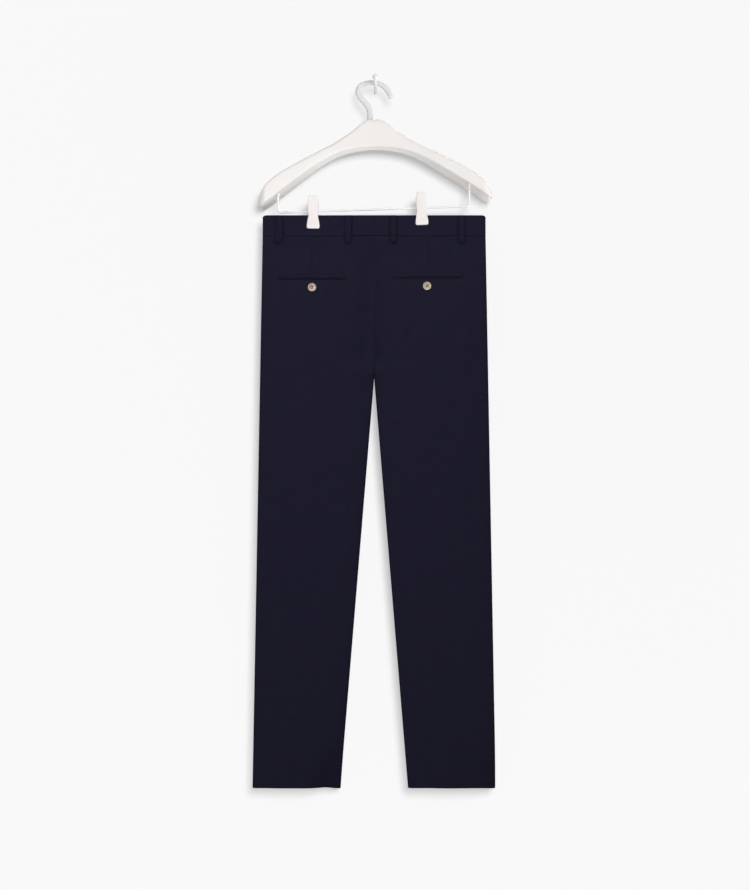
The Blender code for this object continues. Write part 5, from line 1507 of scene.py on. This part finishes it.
# ---------------------------------------------------------------- stage, light, camera
def add_stage():
    """A pale floor, and a pale wall that shows from the front only. Both glow: the wall by as much as
    its own lamp leaves it short of an even tone."""
    floor, _ = new_material("studio_floor", 0.5, Base_Color=BLACK, Specular_IOR_Level=0.0,
                            Emission_Color=WHITE, Emission_Strength=FLOOR_LEVEL)
    wall, paint = new_material("studio_wall", 1.0, Base_Color=WHITE, Specular_IOR_Level=0.0,
                               Emission_Color=WHITE)
    links = wall.node_tree.links
    away = Vector(WALL_LAMP_FROM) - Vector(AIM)
    lit = WALL_LAMP_SHARE * away.length_squared * abs(WALL_LAMP_FROM[1])
    place = add_node(wall, "ShaderNodeNewGeometry").outputs["Position"]
    reach = add_node(wall, "ShaderNodeVectorMath", {0: place, 1: WALL_LAMP_FROM}, operation="DISTANCE")
    fading = add_node(wall, "ShaderNodeMath", {0: reach.outputs["Value"], 1: -3.0}, operation="POWER")
    links.new(scaled(wall, fading.outputs[0], -lit, WALL_LEVEL), paint.inputs["Emission Strength"])
    clear = add_node(wall, "ShaderNodeBsdfTransparent").outputs[0]
    behind = add_node(wall, "ShaderNodeNewGeometry").outputs["Backfacing"]
    either = add_node(wall, "ShaderNodeMixShader", {0: behind, 1: paint.outputs[0], 2: clear})
    links.new(either.outputs[0], wall.node_tree.nodes["Material Output"].inputs["Surface"])
    size = STAGE_HALF
    ground = ((-size, -size, FLOOR_Z), (size, -size, FLOOR_Z), (size, size, FLOOR_Z), (-size, size, FLOOR_Z))
    upright = ((-size, 0.0, FLOOR_Z), (size, 0.0, FLOOR_Z), (size, 0.0, size), (-size, 0.0, size))
    for name, corners, material in (("floor", ground, floor), ("wall", upright, wall)):
        mesh = bpy.data.meshes.new(name)
        mesh.from_pydata([tuple(np.array(corner) * MM) for corner in corners], [], [(0, 1, 2, 3)])
        mesh.materials.append(material)
        plane = bpy.data.objects.new(name, mesh)
        bpy.context.collection.objects.link(plane)
        plane.visible_shadow = False
        plane.visible_glossy = False
        plane.visible_diffuse = name == "wall"


def chosen(name, members, state):
    """The pieces that a lamp lights or that stop its light, or the ones that are left out of that."""
    group = bpy.data.collections.new(name)
    for member in members:
        group.objects.link(bpy.data.objects[member])
    for member in group.collection_objects:
        member.light_linking.link_state = state
    return group


def add_lamp(lamp, start, away, lit, blockers=None):
    light = bpy.data.objects.new(lamp.name, lamp)
    light.location = start
    light.rotation_mode = "QUATERNION"
    light.rotation_quaternion = away.to_track_quat("Z", "Y")
    light.light_linking.receiver_collection = lit
    if blockers:
        light.light_linking.blocker_collection = blockers
    light.visible_glossy = lamp.name != "rear"
    bpy.context.collection.objects.link(light)


def add_lights():
    """Soft studio lamps: a key for the garment from the upper right, one further to the right for the
    hanger, and a wide spot from the left on both, which fades towards the hems; an even fill from the
    front, and light from below on the hanger; one lamp behind the garment, and the wall's own two. The
    room is pale to look at, but lights little."""
    world = bpy.data.worlds.new("pale_room")
    bpy.context.scene.world = world
    world.use_nodes = True
    air = world.node_tree.nodes["Background"]
    air.inputs["Color"].default_value = WHITE
    seen = add_node(world, "ShaderNodeLightPath").outputs["Is Camera Ray"]
    strength = add_node(world, "ShaderNodeMapRange",
                        {"To Min": ROOM_LIGHT, "To Max": ROOM_LOOK, "Value": seen})
    world.node_tree.links.new(strength.outputs["Result"], air.inputs["Strength"])
    stage = ("wall", "floor")
    pale = [name for name in SURFACES if name.startswith(("hanger_", "wire_", "hook_", "clip_"))]
    receivers = {name: chosen(name, members, state) for name, members, state in (
        ("only_wall", ("wall",), "INCLUDE"), ("only_hanger", pale, "INCLUDE"),
        ("all_but_stage", stage, "EXCLUDE"), ("garment", (*stage, *pale), "EXCLUDE"))}
    past_hook = chosen("past_hook", ("hook_band", "hook_on_wall"), "EXCLUDE")
    for name, lit, start, share, size in SUNS:
        sun = bpy.data.lights.new(name, "SUN")
        sun.energy = share * math.pi
        sun.angle = math.radians(size)
        add_lamp(sun, start, Vector(start), receivers[lit])
    for name, lit, start, end, share, radius in LAMPS:
        lamp = bpy.data.lights.new(name, "SPOT" if name == "spot" else "POINT")
        if name == "spot":
            lamp.spot_size = math.radians(SPOT_ANGLE)
            lamp.spot_blend = 1.0
        away = Vector(start) - Vector(end)
        lamp.energy = share * 4.0 * math.pi**2 * away.length_squared
        lamp.shadow_soft_size = radius
        add_lamp(lamp, start, away, receivers[lit], past_hook if name == "wall_lamp_past_hook" else None)
    bpy.context.scene.view_settings.view_transform = "Standard"


def add_camera():
    """Level with the middle of the whole, 2 m in front of the trousers."""
    focal_pixels = (MIDDLE_Y - CAMERA_AT[1]) / MM_PER_PIXEL_AT_CLOTH
    lens = bpy.data.cameras.new("camera")
    lens.sensor_width = SENSOR
    lens.lens = SENSOR * focal_pixels / FRAME_HEIGHT_PIXELS
    camera = bpy.data.objects.new("camera", lens)
    camera.location = Vector(CAMERA_AT) * MM
    camera.rotation_euler = (math.pi / 2, 0.0, 0.0)
    bpy.context.collection.objects.link(camera)
    bpy.context.scene.camera = camera


def build():
    """Surfaces come before the pieces that lie on them."""
    add_camera()
    add_stage()
    make_materials()
    add_hanger_body()
    add_hanger_hook()
    add_clips()
    add_hanger_wire()
    add_wall_hook()
    add_panels()
    add_pocket_sides()
    add_waistbands()
    add_belt_loops()
    add_back_pockets()
    for side, centre, z in POCKET_BUTTONS:
        word = SIDE_NAMES[side]
        add_button(f"pocket_button_{word}", BACK, CENTRE_X + centre, z, [f"back_{word}"])
    tab_z = WAIST_TOP - WAISTBAND_HEIGHT / 2 - FRONT_DIP
    add_button("waist_button", FRONT, CENTRE_X + WAIST_BUTTON_FROM_CENTRE, tab_z, ["band_left"],
               buttonhole=False)
    add_zip_tape()
    add_zip_teeth()
    add_zip_slider()
    add_seam_stitches()
    add_pocket_stitches()
    add_hem_stitches()
    add_lights()


build()
